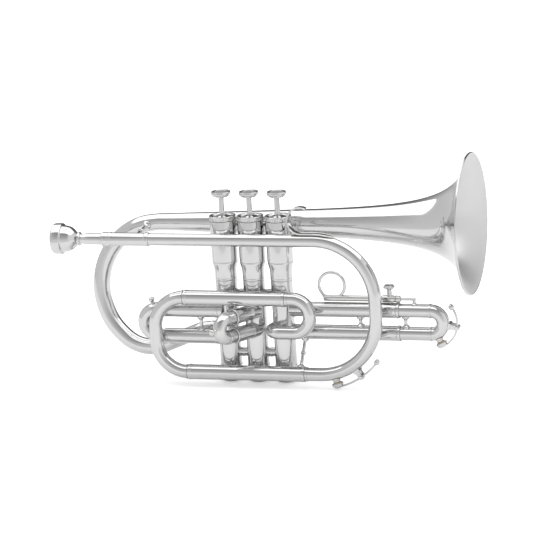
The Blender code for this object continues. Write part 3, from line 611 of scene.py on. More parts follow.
def silver_plate(name, grain=(60, 2200, 2200), low_rough=0.05, high_rough=0.15):
    """Polished plate: handling smudges, hairline scratches along the grain, tarnish in the corners."""
    n = Nodes(name)
    smudge = n.noise(38, 5, 0.6)
    wipe = n.noise(1, 3, 0.7, n.stretched((grain[0] * 0.5, grain[1] * 0.12, grain[2] * 0.12)))
    wear = n.maths("ADD", n.maths("MULTIPLY", smudge, 0.65), n.maths("MULTIPLY", wipe, 0.35))
    corner = n.add("ShaderNodeAmbientOcclusion", {"Distance": CORNER_REACH * MM}, samples=6)
    patchy = n.spread(n.noise(420, 4, 0.65), 0.3, 0.7, 0.4, 1.0)
    shade = n.maths("MULTIPLY", n.spread(corner.outputs["AO"], 0.35, 0.95, 0.55, 0.0), patchy)
    cloud = n.spread(n.noise(16, 3, 0.5), 0.35, 0.75, 0.0, 0.16)
    base = n.mix(cloud, SILVER_TONE, darker(SILVER_TONE, 0.86))
    polish = n.spread(wear, 0.35, 0.7, low_rough, high_rough)
    hairline = n.bump(n.noise(1, 6, 0.75, n.stretched(grain)), 0.10, 0.02)
    return n.finish(
        Base_Color=n.mix(shade, base, TARNISH_TONE),
        Metallic=1.0,
        Roughness=n.maths("ADD", polish, n.maths("MULTIPLY", shade, 0.25)),
        Normal=n.bump(n.noise(95, 2, 0.4), 0.05, 0.25, hairline),
    )


def worn_metal(name, tone, low_rough, high_rough, grain):
    """Bare working metal: honed along the grain, with darker oil film in patches."""
    n = Nodes(name)
    film = n.spread(n.noise(140, 5, 0.6), 0.35, 0.7, 0, 0.5)
    lines = n.noise(1, 5, 0.8, n.stretched(grain))
    return n.finish(
        Base_Color=n.mix(film, tone, darker(tone, 0.62)),
        Metallic=1.0,
        Roughness=n.spread(lines, 0.25, 0.75, low_rough, high_rough),
        Normal=n.bump(lines, 0.35, 0.03),
    )


def mother_of_pearl(name):
    """Grey shell with drifting pink and green lustre in curved layers."""
    n = Nodes(name)
    inputs = {"Vector": n.place, "Scale": 190, "Distortion": 9, "Detail": 3}
    layers = n.add("ShaderNodeTexWave", inputs, wave_type="RINGS").outputs["Fac"]
    drift = n.spread(n.noise(330, 3, 0.6), 0.3, 0.7, 0, 1)
    lustre = n.mix(drift, (0.42, 0.35, 0.36), (0.31, 0.39, 0.36))
    return n.finish(
        Base_Color=n.mix(n.spread(layers, 0, 1, 0.25, 0.75), (0.42, 0.41, 0.39), lustre),
        Roughness=n.spread(drift, 0, 1, 0.16, 0.3),
        Coat_Weight=0.8,
        Coat_Roughness=0.06,
        Subsurface_Weight=0.15,
        Subsurface_Scale=MM,
        Normal=n.bump(layers, 0.08, 0.05),
    )


def natural_cork(name):
    """Cork: pale cells with dark flecks and a crumbly surface."""
    n = Nodes(name)
    cells = n.add("ShaderNodeTexVoronoi", {"Vector": n.place, "Scale": 1500}).outputs["Distance"]
    flecks = n.spread(n.noise(700, 6, 0.75), 0.52, 0.66, 0, 1)
    base = n.mix(n.spread(cells, 0, 0.7, 0, 1), (0.74, 0.60, 0.43), (0.60, 0.45, 0.29))
    colour = n.mix(flecks, base, (0.34, 0.22, 0.13))
    return n.finish(Base_Color=colour, Roughness=0.86, Normal=n.bump(cells, 0.5, 0.12))


# ---- shared shapes


def on_valve(number, height=0.0):
    """A point on a valve's axis."""
    return Vector((VALVE_X[number], 0, height))


def hug_casing(points, number, heading):
    """Moves the points that lie inside a casing out along the heading until they sit in its wall."""
    wall = CASING_RADIUS - 0.45
    for point in points:
        offset = Vector((point.x - VALVE_X[number], point.y, 0))
        along = offset.dot(heading)
        aside = (offset - heading * along).length
        limit = math.sqrt(wall * wall - aside * aside) if aside < wall else 0.0
        if along < limit:
            point += heading * (limit - along)


def sleeve(start, heading, length, ring_at=0.0, lip=MOUTH_LIP):
    """An outer slide tube, closed at its foot, with a ferrule near it and a rolled ring at its mouth."""
    ferrule, mouth = SLEEVE + 0.25, SLEEVE + lip
    profile = [
        (0, 0), (SLEEVE * 0.6, 0, 0), (SLEEVE, 0, 0), (SLEEVE, ring_at + 0.01, 0),
        (ferrule, ring_at + 0.02), (ferrule, ring_at + 3.0), (SLEEVE, ring_at + 3.1),
        (SLEEVE, length - 2.9), (mouth, length - 2.5), (mouth, length - 0.4), (SLEEVE, length),
        (SLEEVE_BORE, length), (SLEEVE_BORE, ring_at + 4.0), (0, ring_at + 4.0),
    ]
    return turned(profile, start, heading, TUBE_SIDES, steps=4)


def pull_knob(foot, heading, length):
    shape = [
        (2.2, -1.5), (2.0, 0.4), (1.4, 0.9), (1.3, length - 3.7), (2.0, length - 3.3),
        (2.6, length - 2.3), (2.65, length - 1.4), (2.2, length - 0.6), (1.3, length - 0.1),
        (0.01, length),
    ]
    return lathe([(0, -1.5), *curve_through(shape, 4)[:-1], (0, length)], foot, heading, 28)


def stay(start, end, seats, flange=BRACE_FLANGE, waist=BRACE_WAIST):
    """A turned brace with two saddled flanges, and a bead in the middle if it is long enough."""
    length = (Vector(end) - Vector(start)).length
    mid = length / 2
    half = [
        (flange, 0.02), (flange, 0.9), (flange - 0.35, 1.25),
        (waist + 0.55, 1.7), (waist + 0.15, 2.4), (waist, 3.4),
    ]
    bead = [(waist, mid)]
    if length > 11:
        bead = [(waist, -1.3), (waist + 0.7, -0.8), (waist + 0.95, 0), (waist + 0.7, 0.8), (waist, 1.3)]
        bead = [(r, mid + h) for r, h in bead]
    rest = [(r, length - h) for r, h in half[::-1]]
    return saddled([(0, 0.0)] + half + bead + rest + [(0, length)], start, end, seats)


def collar(middle, axis, radius, width, rise):
    """A plain raised ring soldered round a tube."""
    inner, outer, half = radius - 0.4, radius + rise, width / 2
    profile = [(inner, -half), (outer, -half), (outer, half), (inner, half)]
    return turned(profile, middle, axis, TUBE_SIDES, 0.22)


def nipple(key):
    """The short spout that a water key's cork closes."""
    middle, surface, angles = WATER_KEYS[key]
    foot = arc_point(middle, angles[0], surface - 1.2)
    profile = [(0, 0), (3.5, 0, 0), (3.45, 1.3, 0.3), (3.1, 1.8, 0.3)]
    profile += [(3.0, 3.2), (1.2, 3.2), (1.2, 2.2), (0, 2.2)]
    return turned(profile, foot, foot - middle, 32, 0.25)


# ---- valve group


def casing(number, look):
    body, barrel = CASING_RADIUS, BARREL_RADIUS
    profile = [
        (CASING_BORE, CASING_FOOT_Z), (body, CASING_FOOT_Z), (body, 14.0, 0), (body + 0.28, 14.3),
        (body + 0.28, 15.6), (body, 15.9, 0), (body, 89.2, 0.1), (body - 0.15, 89.5, 0.1),
        (body - 0.15, 90.0, 0.1), (body + 0.15, 90.3, 0.2), (body + 0.15, 91.4, 0.2), (body, 91.9, 0.3),
        (body + 0.15, 97.5, 2.0), (body + 0.5, 100.0, 1.5), (barrel - 0.15, 104.4, 1.2),
        (barrel - 0.05, 105.2, 0.1), (barrel - 0.25, 105.4, 0.1), (barrel - 0.25, 105.9, 0.1),
        (barrel, 106.2, 0.1), (barrel, CASING_TOP), (BARREL_BORE, CASING_TOP),
        (BARREL_BORE, BARREL_FLOOR_Z), (CASING_BORE, BARREL_FLOOR_Z),
    ]
    show(f"valve_{number}_casing", [turned(profile, on_valve(number), Z, 64, 0.4, 4)], look)


def top_cap(number, look):
    """A cap with a hole for the stem, a raised middle and a knurled rim, screwed into the barrel."""
    foot, seat = on_valve(number), CASING_TOP
    bore, rim = BARREL_BORE, BARREL_RADIUS
    profile = [
        (2.8, seat + 0.9), (bore - 1.4, seat + 0.4), (bore - 1.2, seat - 3.5), (bore - 0.3, seat - 3.5),
        (bore - 0.3, seat + 0.3), (rim + 0.2, seat + 0.3), (rim + 0.2, seat + 3.1, 0.2),
        (rim + 0.45, seat + 3.3, 0.2), (rim + 0.45, seat + 3.9, 0.3), (10.7, seat + 4.3, 0.3),
        (9.7, seat + 4.2, 0.2), (9.2, seat + 3.1, 0.4), (8.0, seat + 3.1, 0.8), (4.6, CAP_TOP - 0.4, 0.9),
        (3.2, CAP_TOP, 0.2), (2.8, CAP_TOP - 0.3, 0.1),
    ]
    teeth = knurl(11.42, 0.3, seat + 0.6, seat + 2.9, foot, teeth=52)
    show(f"valve_{number}_top_cap", [turned(profile, foot, Z, 64), teeth], look, SHARP_KNURL)


def bottom_cap(number, look):
    """A domed cup with a knurled side, screwed over the casing's foot."""
    foot, bore = on_valve(number), CASING_RADIUS + 0.1
    profile = [
        (0, 0.5), (2.0, 0.5), (2.4, 0.0), (3.4, 0.0), (3.8, 0.4, 0.4), (7.0, 1.0, 1.5), (9.0, 1.9, 0.8),
        (9.7, 3.0, 0.4), (9.7, 8.6), (10.3, 8.7), (10.3, 9.0), (bore, 9.0), (bore, 2.6), (0, 2.6),
    ]
    teeth = knurl(10.4, 0.34, 3.0, 8.0, foot)
    show(f"valve_{number}_bottom_cap", [turned(profile, foot, Z, 64), teeth], look, SHARP_KNURL)


def button(number, metal, pearl):
    foot, top, stem = on_valve(number), BUTTON_TOP, STEM_RADIUS
    bottom, stem_foot = BUTTON_TOP - BUTTON_HEIGHT, low(f"valve_{number}_button").z
    profile = [
        (0, stem_foot), (stem, stem_foot), (stem, CAP_TOP + 0.6, 0), (stem, bottom, 0),
        (4.4, bottom, 0.5), (6.6, bottom + 0.6, 1.2), (7.9, bottom + 2.0, 1.0), (8.4, top - 2.2, 0.3),
        (8.4, top - 1.3, 0.5), (8.1, top, 0.35), (6.8, top, 0.15), (5.9, top - 0.3, 0.1),
        (5.9, top - 2.4), (0, top - 2.4),
    ]
    show(f"valve_{number}_button", [turned(profile, foot, Z, 56, steps=5)], metal)
    inlay = [(0, 2.3), (5.8, 2.3), (5.8, 0.5), (5.6, 0.38), (3.0, 0.3), (0, 0.27)]
    inlay = [(radius, top - depth) for radius, depth in inlay]
    show(f"valve_{number}_pearl", [lathe(inlay, foot, Z, 56)], pearl)


def bore_through(body, name, middle, across):
    """Cuts one windway through a piston, straight across its axis."""
    route = Route(middle - across * 11, across).straight(22)
    cutter = add_object(name, make_mesh(name, *bar(route.points, WINDWAY_RADIUS, 40, Z)))
    modifier = body.modifiers.new(name, "BOOLEAN")
    modifier.operation = "DIFFERENCE"
    modifier.object = cutter
    modifier.solver = "EXACT"
    bpy.context.view_layer.objects.active = body
    bpy.ops.object.modifier_apply(modifier=modifier.name)
    bpy.data.objects.remove(cutter, do_unlink=True)


def piston(number, look):
    """Turned piston with its rod and head, and its windways bored through by a Boolean."""
    foot, top, wide = PISTON_FOOT_Z, PISTON_TOP_Z, PISTON_RADIUS
    head_foot, head_top = PISTON_HEAD_Z
    profile = [
        (0, foot), (wide - 0.2, foot), (wide, foot + 0.2), (wide, top - 0.3), (wide - 0.3, top),
        (4.2, top), (4.2, head_foot), (9.7, head_foot), (9.7, head_top), (0, head_top),
    ]
    body = show(f"valve_{number}_piston", [turned(profile, on_valve(number), Z, 64, 0.25)], look)
    for index, height in enumerate(WINDWAY_LEVELS):
        turn = math.radians(60 * index)
        across = Vector((math.cos(turn), math.sin(turn), 0))
        bore_through(body, f"windway_{number}_{index}", on_valve(number, height), across)
    body.data.set_sharp_from_angle(angle=math.radians(SHARP))


def spring(number, look):
    """A coil under the piston head, as tall as its CAD node."""
    node, joint = f"valve_{number}_spring", f"valve_{number}_press"
    foot, height = low(node).z, high(node).z - low(node).z
    start, length = on_valve(number, foot + SPRING_WIRE), height - 2 * SPRING_WIRE
    obj = show(node, [coil(start, Z, X, SPRING_RADIUS, SPRING_WIRE, length, SPRING_TURNS)], look)
    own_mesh(obj)


def knuckle(first, level, height, radius, look):
    """Short tube between two casings, its ends shaped to their walls."""
    inset = 6.5
    length = VALVE_X[first + 1] - VALVE_X[first] - 2 * inset
    profile = [
        (0, 0), (radius, 0), (radius, length * 0.38), (radius + 0.3, length * 0.42),
        (radius + 0.3, length * 0.58), (radius, length * 0.62), (radius, length), (0, length),
    ]
    part = turned(profile, on_valve(first, height) + X * inset, X, 40, 0.2)
    hug_casing(part[0], first, X)
    hug_casing(part[0], first + 1, -X)
    show(f"knuckle_{first}_{first + 1}_{level}", [part], look)


# ---- leadpipe and tuning slide


def mouthpiece(look):
    rim = [(8.3, 1.3), (9.3, 0.35), (10.7, 0.0), (12.2, 0.25), (13.05, 1.1), (13.3, 2.4)]
    band = [(13.3, 7.6), (13.15, 8.2), (12.7, 8.6), (11.9, 8.9), (11.5, 9.4)]
    cup = [(11.4, 10.2), (11.1, 12.6), (10.0, 15.8), (7.9, 18.6), (5.8, 20.3), (4.5, 21.2)]
    neck = [(4.4, 21.5), (5.5, 21.9), (5.9, 22.7), (5.9, 23.4), (5.4, 24.1), (4.3, 24.5)]
    shank = [(4.1, 25.4), (4.5, 27.5), (4.9, 30.5), (4.95, 36.0), (4.8, 44.5), (4.5, 55.0), (4.2, 64.2)]
    bore = [(3.5, 64.5), (2.6, 40.0), (1.85, 19.0), (1.9, 16.8), (2.6, 14.8)]
    bore += [(4.6, 12.0), (6.6, 8.6), (7.7, 5.0), (8.2, 2.4)]
    profile = curve_through(rim, 5) + band + curve_through(cup, 5)
    profile += curve_through(neck, 4) + curve_through(shank, 4)
    profile += [(4.1, 64.5)] + curve_through(bore, 4)
    foot = (low("mouthpiece").x, FRONT_Y, LEADPIPE_Z)
    show("mouthpiece", [lathe(profile, foot, X, 72)], look, 40)


def receiver(look):
    end = RECEIVER_END_X - RECEIVER_MOUTH_X
    profile = [
        (5.2, 0), (5.9, 0), (6.3, 0.5), (6.3, 1.8), (6.0, 2.1, 0.1), (6.0, 6.2, 0.1), (6.3, 6.6),
        (6.3, 7.9), (5.85, 8.5, 0.6), (RECEIVER_RADIUS, 14.0, 2), (5.6, end - 4.0, 0.4), (6.0, end - 3.4),
        (6.0, end - 0.4), (5.6, end), (4.5, end), (4.5, 22.0),
    ]
    foot = (RECEIVER_MOUTH_X, FRONT_Y, LEADPIPE_Z)
    show("mouthpiece_receiver", [turned(profile, foot, X, 48, steps=4)], look)


def leadpipe(look):
    start_x = RECEIVER_END_X - 3
    route = Route((start_x, FRONT_Y, LEADPIPE_Z), X).straight(FRONT_CROOK_X - start_x, 12)
    route.bend(Y, 90, FRONT_CROOK_RADIUS)
    route.straight(LEADPIPE_Z - LOWER_LEG_Z - 2 * FRONT_CROOK_RADIUS, 3)
    route.bend(Y, 90, FRONT_CROOK_RADIUS).straight(FRONT_CROOK_X - LOWER_FERRULE_X + 1, 2)
    gaps = ((b - a).length for a, b in zip(route.points, route.points[1:]))
    grown = [min(1, at / LEADPIPE_TAPER) for at in accumulate(gaps, initial=0)]
    outer = [LEADPIPE_START + (LEADPIPE_END - LEADPIPE_START) * share for share in grown]
    parts = [
        tube(route.points, outer, [radius - LEADPIPE_WALL for radius in outer]),
        collar((LOWER_FERRULE_X + 1.2, FRONT_Y, LOWER_LEG_Z), X, LEADPIPE_END, 2.2, 0.45),
        nipple("crook"),
    ]
    show("leadpipe", parts, look)


def tuning_slide(look, leg_look):
    ends = ("lower", LOWER_LEG_Z, LOWER_FERRULE_X), ("upper", UPPER_LEG_Z, UPPER_FERRULE_X)
    for side, level, end in ends:
        part = sleeve((end, FRONT_Y, level), -X, end - TUNING_SLEEVE_END_X)
        show(f"tuning_slide_{side}_sleeve", [part], look)
    bow_x = TUNING_SLEEVE_END_X - 0.9
    leg = TUNING_LEG_END_X - bow_x
    route = Route((TUNING_LEG_END_X, FRONT_Y, LOWER_LEG_Z), -X).straight(leg, 2)
    route.bend(Y, 90, TUNING_BOW_RADIUS).straight(UPPER_LEG_Z - LOWER_LEG_Z - 2 * TUNING_BOW_RADIUS)
    route.bend(Y, 90, TUNING_BOW_RADIUS).straight(leg, 2)
    rings = [collar((bow_x - 0.6, FRONT_Y, z), X, LEG, 1.6, 0.55) for z in (UPPER_LEG_Z, LOWER_LEG_Z)]
    show("tuning_slide_bow", [leg_tube(route)] + rings, leg_look)


def entry_crook(look):
    """From the tuning slide's upper sleeve down and round into the third casing."""
    start_x = UPPER_FERRULE_X - 1
    route = Route((start_x, FRONT_Y, UPPER_LEG_Z), X).straight(ENTRY_TURN_X - start_x)
    route.bend(Y, 180, (UPPER_LEG_Z - ENTRY_Z) / 2).straight(ENTRY_TURN_X - ENTRY_IN_X)
    route.bend(-Z, ENTRY_IN_ANGLE, ENTRY_IN_RADIUS).straight(3.0)
    pipe = leg_tube(route)
    hug_casing(pipe[0][-8 * TUBE_SIDES:], 3, -route.heading)
    ferrule = collar((UPPER_FERRULE_X + 1.2, FRONT_Y, UPPER_LEG_Z), X, LEG, 2.2, 0.45)
    show("entry_crook", [pipe, ferrule], look)


# ---- valve slides


def valve_slide(name, number, start, heading, distances, looks, extra, lip=MOUTH_LIP):
    """Sleeves and bow of one slide. The distances are: leg end, sleeve end, start of the bow."""
    leg_end, sleeve_end, bow_start = distances
    heights = levels(name)
    across = Z.cross(heading)
    aside = abs((start - on_valve(number)).dot(across))
    inset = 2.0
    ring_at = math.sqrt(CASING_RADIUS ** 2 - aside ** 2) - inset
    for side, height in zip(("upper", "lower"), heights):
        part = sleeve(start + Z * height + heading * inset, heading, sleeve_end - inset, ring_at, lip)
        hug_casing(part[0], number, heading)
        show(f"{name}_slide_{side}_sleeve", [part], looks[0])
    leg = bow_start - leg_end
    route = Route(start + Z * heights[0] + heading * leg_end, heading).straight(leg, 2)
    route.bend(across, 180, (heights[0] - heights[1]) / 2).straight(leg, 2)
    ring_foot = start + heading * (bow_start - 0.4)
    rings = [collar(ring_foot + Z * height, heading, LEG, 1.6, 0.55) for height in heights]
    show(f"{name}_slide_bow", [leg_tube(route, across), *rings, extra], looks[1])


def bow_knob(bow_centre, heights, outward, length):
    """A pull knob on the outside of a bow."""
    return pull_knob(bow_centre + outward * ((heights[0] - heights[1]) / 2 + LEG), outward, length)


def slides(looks):
    outward = Vector((-0.2, 0, 1)).normalized()
    knob = bow_knob(Vector((FIRST_BOW_X, FIRST_Y, sum(FIRST_LEVELS) / 2)), FIRST_LEVELS, outward, 5.0)
    distances = [VALVE_X[1] - x for x in (FIRST_LEG_END_X, FIRST_SLEEVE_END_X, FIRST_BOW_X)]
    start = Vector((VALVE_X[1], FIRST_Y, 0))
    valve_slide("first", 1, start, -X, distances, looks, knob, TIGHT_LIP)

    turn = math.radians(SECOND_ANGLE)
    heading = Vector((-math.sin(turn), -math.cos(turn), 0))
    start = on_valve(2) + Vector((math.cos(turn), -math.sin(turn), 0)) * SECOND_OFFSET
    bow_centre = start + Z * (sum(SECOND_LEVELS) / 2) + heading * SECOND_BOW_START
    knob = bow_knob(bow_centre, SECOND_LEVELS, heading, 5.2)
    distances = (SECOND_LEG_END, SECOND_SLEEVE_END, SECOND_BOW_START)
    valve_slide("second", 2, start, heading, distances, looks, knob)

    distances = [x - VALVE_X[3] for x in (THIRD_LEG_END_X, THIRD_SLEEVE_END_X, THIRD_BOW_X)]
    valve_slide("third", 3, on_valve(3), X, distances, looks, nipple("third"))


def braces(look):
    for node, x, y, (upper, lower), radius in (
        ("first_slide_brace", FIRST_BRACE_X, FIRST_Y, FIRST_LEVELS, SLEEVE),
        ("third_slide_fixed_brace", THIRD_FIXED_BRACE_X, 0, THIRD_LEVELS, SLEEVE),
        ("third_slide_moving_brace", THIRD_MOVING_BRACE_X, 0, THIRD_LEVELS, LEG),
    ):
        start, end = (x, y, lower + radius - 0.15), (x, y, upper - radius + 0.15)
        show(node, [stay(start, end, ((X, radius), (X, radius)))], look)
    top, bottom = Vector((STAY_X[0], 0, THIRD_LEVELS[1])), Vector((STAY_X[1], FRONT_Y, LOWER_LEG_Z))
    ends = facing(top, bottom, SLEEVE - 0.15), facing(bottom, top, SLEEVE - 0.15)
    show("slide_stay", [stay(*ends, ((X, SLEEVE), (X, SLEEVE)), 3.3)], look)


# ---- finger ring


def ring_saddle():
    """The flat web between the hoop and its tube, cut to the hoop's curve along its top."""
    outline = [Vector((RING_X + side * 8.6, 0, ROD_Z + 1.3)) for side in (-1, 1)]
    hoop_middle = (RING_X, 0, RING_Z + 0.2)
    for step in range(13):
        outline.append(arc_point(hoop_middle, 36 - 6 * step, RING_RADIUS + 1.0))
    return slab(outline, -1.5, 1.5)


def finger_ring(look):
    """Hoop on a saddle, its sliding tube, and the barrel and collar that the screw clamps."""
    hoop = Route((RING_X, 0, RING_Z - RING_RADIUS), X).bend(-Y, 360, RING_RADIUS)
    bore = ROD_RADIUS + 0.3
    body = [
        (bore, 61.0), (2.2, 61.0), (2.5, 61.5), (2.5, 111.6, 0.2), (3.1, 112.0, 0.3), (3.1, 121.4, 0.3),
        (2.75, 121.8, 0.1), (2.75, 122.4, 0.1), (2.9, 122.7, 0.2), (2.9, 126.4, 0.3), (2.4, 127.5, 0.5),
        (bore, 127.5),
    ]
    post = [(0, -0.4), (2.6, -0.4), (2.3, 1.0, 0.8), (2.0, 2.6), (2.2, 3.1), (0, 3.1)]
    parts = [
        bar(hoop.points, RING_WIRE, 18, closed=True),
        turned(body, (0, 0, ROD_Z), X, 32, 0.25),
        knurl(3.1, 0.2, 123.0, 126.2, (0, 0, ROD_Z), X, 26),
        turned(post, (SCREW_X, 0, ROD_Z + 2.0), Z, 28),
        ring_saddle(),
    ]
    show("finger_ring", parts, look)


def thumb_screw(look):
    foot = (SCREW_X, 0, ROD_Z)
    profile = [(0, 1.5), (1.2, 1.5), (1.2, 5.15), (2.3, 5.2), (2.3, 6.0, 0.3), (2.1, 7.8, 0.5)]
    profile += [(2.6, 8.6, 0.4), (4.3, 9.2, 0.3), (4.3, 11.4, 0.3), (3.9, 12.1, 0.4), (2.9, 12.1, 0.4)]
    profile += [(2.2, 11.5, 0.4), (0, 11.4)]
    parts = [turned(profile, foot, Z, 40, steps=4), knurl(4.85, 0.38, 9.4, 11.2, foot, teeth=28)]
    show("finger_ring_thumb_screw", parts, look, SHARP_KNURL)


def stop_rod(look):
    """The rod the ring rides on, and the post that holds it on the third slide's bow."""
    end = ROD_END_X - ROD_START_X
    rod = [(0, 0), (0.7, 0), (ROD_RADIUS, 0.6), (ROD_RADIUS, end - 0.5, 0.4), (0.8, end), (0, end)]
    leg_top = THIRD_LEVELS[0] + LEG
    height = ROD_Z - leg_top + 0.6
    post = [(0, 0), (2.7, 0), (2.5, 0.6, 0.4), (1.5, 1.4, 0.6), (1.4, height, 0.4), (0, height)]
    parts = [
        turned(rod, (ROD_START_X, 0, ROD_Z), X, 28, 0.2),
        turned(post, (ROD_POST_X, 0, leg_top - 0.5), Z, 28),
    ]
    show("third_slide_stop_rod", parts, look)


# ---- water keys


def lever_arm(middle, arc, angles):
    """The curved arm: widest at the pivot, slim towards the cup and the finger end."""
    cup_angle, pivot_angle, tip_angle = angles
    longest = max(tip_angle - pivot_angle, pivot_angle - cup_angle)
    steps = 28
    rows = []
    for step in range(steps + 1):
        degrees = cup_angle + (tip_angle - cup_angle) * (step / steps)
        off_pivot = min(1, abs(degrees - pivot_angle) / longest)
        half_width, half_thick = 1.9 - 0.75 * off_pivot ** 0.8, 0.95 - 0.25 * off_pivot
        point = arc_point(middle, degrees, arc)
        rows.append((point, (point - middle).normalized(), half_width, half_thick))
    return strip(rows, 0.6)


def water_key(key, silver, steel, cork_look):
    """Lever, cork, bracket and spring round a bend."""
    middle, surface, angles = WATER_KEYS[key]
    cup_angle, pivot_angle, tip_angle = angles
    arc = surface + KEY_RISE
    pivot, tip = arc_point(middle, pivot_angle, arc), arc_point(middle, tip_angle, arc)
    cup_foot = arc_point(middle, cup_angle, surface + 2.3)
    outward = (cup_foot - middle).normalized()

    plug = [(0, 0), (3.3, 0, 0.4), (3.65, 0.5, 0.3), (3.65, 1.9), (0, 1.9)]
    show(f"{key}_water_key_cork", [turned(plug, cup_foot, outward, 36, 0.2)], cork_look)

    cup = [
        (3.8, 0.9), (4.6, 0.7, 0.3), (5.0, 1.1, 0.3), (4.9, 1.9, 0.3), (4.6, 2.3, 0.3), (4.5, 3.2, 0.6),
        (3.0, 4.6, 1.0), (1.7, 5.1, 0.4), (0, 5.3), (0, 2.1), (3.8, 2.1),
    ]
    hub = [(1.25, 0), (2.1, 0), (2.3, 0.3), (2.3, 3.3), (2.1, 3.6), (1.25, 3.6)]
    turns = [math.radians(degrees) for degrees in range(12, 180, 12)]
    pad = [(0, -2.4)] + [(2.7 * math.sin(t), -2.4 * math.cos(t)) for t in turns] + [(0, 2.4)]
    parts = [
        turned(cup, cup_foot, outward, 40, 0.25),
        lever_arm(middle, arc, angles),
        turned(hub, pivot - Y * 1.8, Y, 32, 0.2),
        lathe(pad, tip, tip - middle, 28),
    ]
    show(f"{key}_water_key_lever", parts, silver)
    key_bracket(key, pivot, silver)
    wire = coil((pivot.x, middle.y + 2.55, pivot.z), Y, X, 1.75, 0.3, 1.9, 3)
    show(f"{key}_water_key_spring", [wire], steel)


def key_bracket(key, pivot, look):
    """Saddle, two rounded cheeks and the pivot screw."""
    middle, surface, angles = WATER_KEYS[key]
    outward = (pivot - middle).normalized()
    along = outward.cross(Y)
    base = arc_point(middle, angles[1], surface)

    def corner(side, up):
        return base + along * side + outward * up

    cheek = [corner(-2.4, -0.8), corner(2.4, -0.8), corner(2.16, 1.2)]
    for turn in (math.radians(15 * step) for step in range(13)):
        cheek.append(pivot + along * (1.8 * math.cos(turn)) + outward * (1.8 * math.sin(turn)))
    cheek.append(corner(-2.16, 1.2))
    plate = [corner(-3.1, -1.2), corner(3.1, -1.2), corner(2.8, 1.3), corner(-2.8, 1.3)]
    front, back = middle.y - 3.2, middle.y + 5.8
    length = back - front + 1.2
    pin = [(0, 0), (1.5, 0), (1.7, 0.2), (1.7, 0.7), (1.0, 0.8), (1.0, length), (0, length)]
    parts = [
        slab(cheek, front + 0.3, front + 1.2),
        slab(cheek, back - 1.2, back - 0.3),
        slab(plate, front, back),
        turned(pin, (pivot.x, front - 0.8, pivot.z), Y, 28, 0.15),
    ]
    show(f"{key}_water_key_bracket", parts, look, bevel=0.22)


# ---- bell


def flare_radius(distance):
    """Outer radius at a distance back from the rim: a horn curve, then a cone down to the loop."""
    spread = (BELL_RIM_RADIUS - BELL_THROAT) * BELL_FLARE_OFFSET
    reach = min(distance, BELL_FLARE_REACH)
    horn = BELL_THROAT + spread / (reach + BELL_FLARE_OFFSET)
    share = min(1, (distance - reach) / BELL_CONE_LENGTH)
    return horn + (BELL_LOOP_RADIUS - horn) * share


def bell_loop():
    """From the first valve round to the start of the straight bell: points and outer radii."""
    route = Route((VALVE_X[1] - 6, 0, BELL_TAIL_Z), -X).straight(10.0)
    route.bend(-Y, 22, 40.0, 2).straight(33.0)
    route.bend(Y, 58, 38.0, 4).bend(Y, 30, 52.5, 2).bend(Y, 114, 56.0, 7)
    loop = route.points
    last = len(loop) - 1
    lift = BELL_Z - loop[-1].z
    radii = []
    for i, point in enumerate(loop):
        share = max(0, (i - 2) / (last - 2))
        point.y = BELL_TAIL_Y + (BELL_Y - BELL_TAIL_Y) * share * share * (3 - 2 * share)
        point.z += lift * share
        radii.append(BELL_TAIL_RADIUS + (BELL_LOOP_RADIUS - BELL_TAIL_RADIUS) * min(1, i / 10))
    shares = [step / LOOP_STEPS for step in range(LOOP_STEPS)]
    widths = [a + (b - a) * share for a, b in zip(radii, radii[1:]) for share in shares]
    return curve_through(loop, LOOP_STEPS), widths + [radii[-1]]


def tail_elbow(foot):
    """A rounded end for the loop, shaped to the first casing's wall."""
    dome = [(0, -2.0), (BELL_TAIL_RADIUS - 0.2, -2.0)]
    for turn in (math.radians(degrees) for degrees in range(0, 90, 10)):
        dome.append((BELL_TAIL_RADIUS * math.cos(turn), BELL_TAIL_RADIUS * math.sin(turn)))
    elbow = lathe(dome + [(0, BELL_TAIL_RADIUS)], foot, X, BELL_SIDES)
    hug_casing(elbow[0], 1, -X)
    return elbow


def bell(look, inner_look):
    """The loop and the horn in one skin, with a wired rim and the ferrule at the first valve."""
    line, outer = bell_loop()
    ferrule_at = line[LOOP_STEPS] - X * 0.5
    start_x, end_x = line[-1].x, BELL_RIM_X - 0.32
    for step in range(1, BELL_STATIONS + 1):
        share = 1 - (1 - step / BELL_STATIONS) ** 2.6
        x = start_x + (end_x - start_x) * share
        line.append(Vector((x, BELL_Y, BELL_Z)))
        outer.append(flare_radius(BELL_RIM_X - x))
    skin = tube(line, outer, [radius - BELL_WALL for radius in outer], BELL_SIDES)
    hug_casing(skin[0][:4 * BELL_SIDES], 1, -X)
    rim_radius = BELL_RIM_RADIUS - RIM_WIRE
    rim = Route((BELL_RIM_X - RIM_WIRE, BELL_Y, BELL_Z - rim_radius), Y).bend(X, 360, rim_radius)
    parts = [
        skin,
        bar(rim.points, RIM_WIRE, 16, X, closed=True),
        collar(ferrule_at, X, BELL_TAIL_RADIUS, 2.4, 0.4),
        tail_elbow(line[0]),
    ]
    obj = show("bell", parts, look)
    obj.data.materials.append(inner_look)
    for face in obj.data.polygons[:2 * BELL_SIDES * (len(line) - 1)]:
        face.material_index = face.index // BELL_SIDES % 2


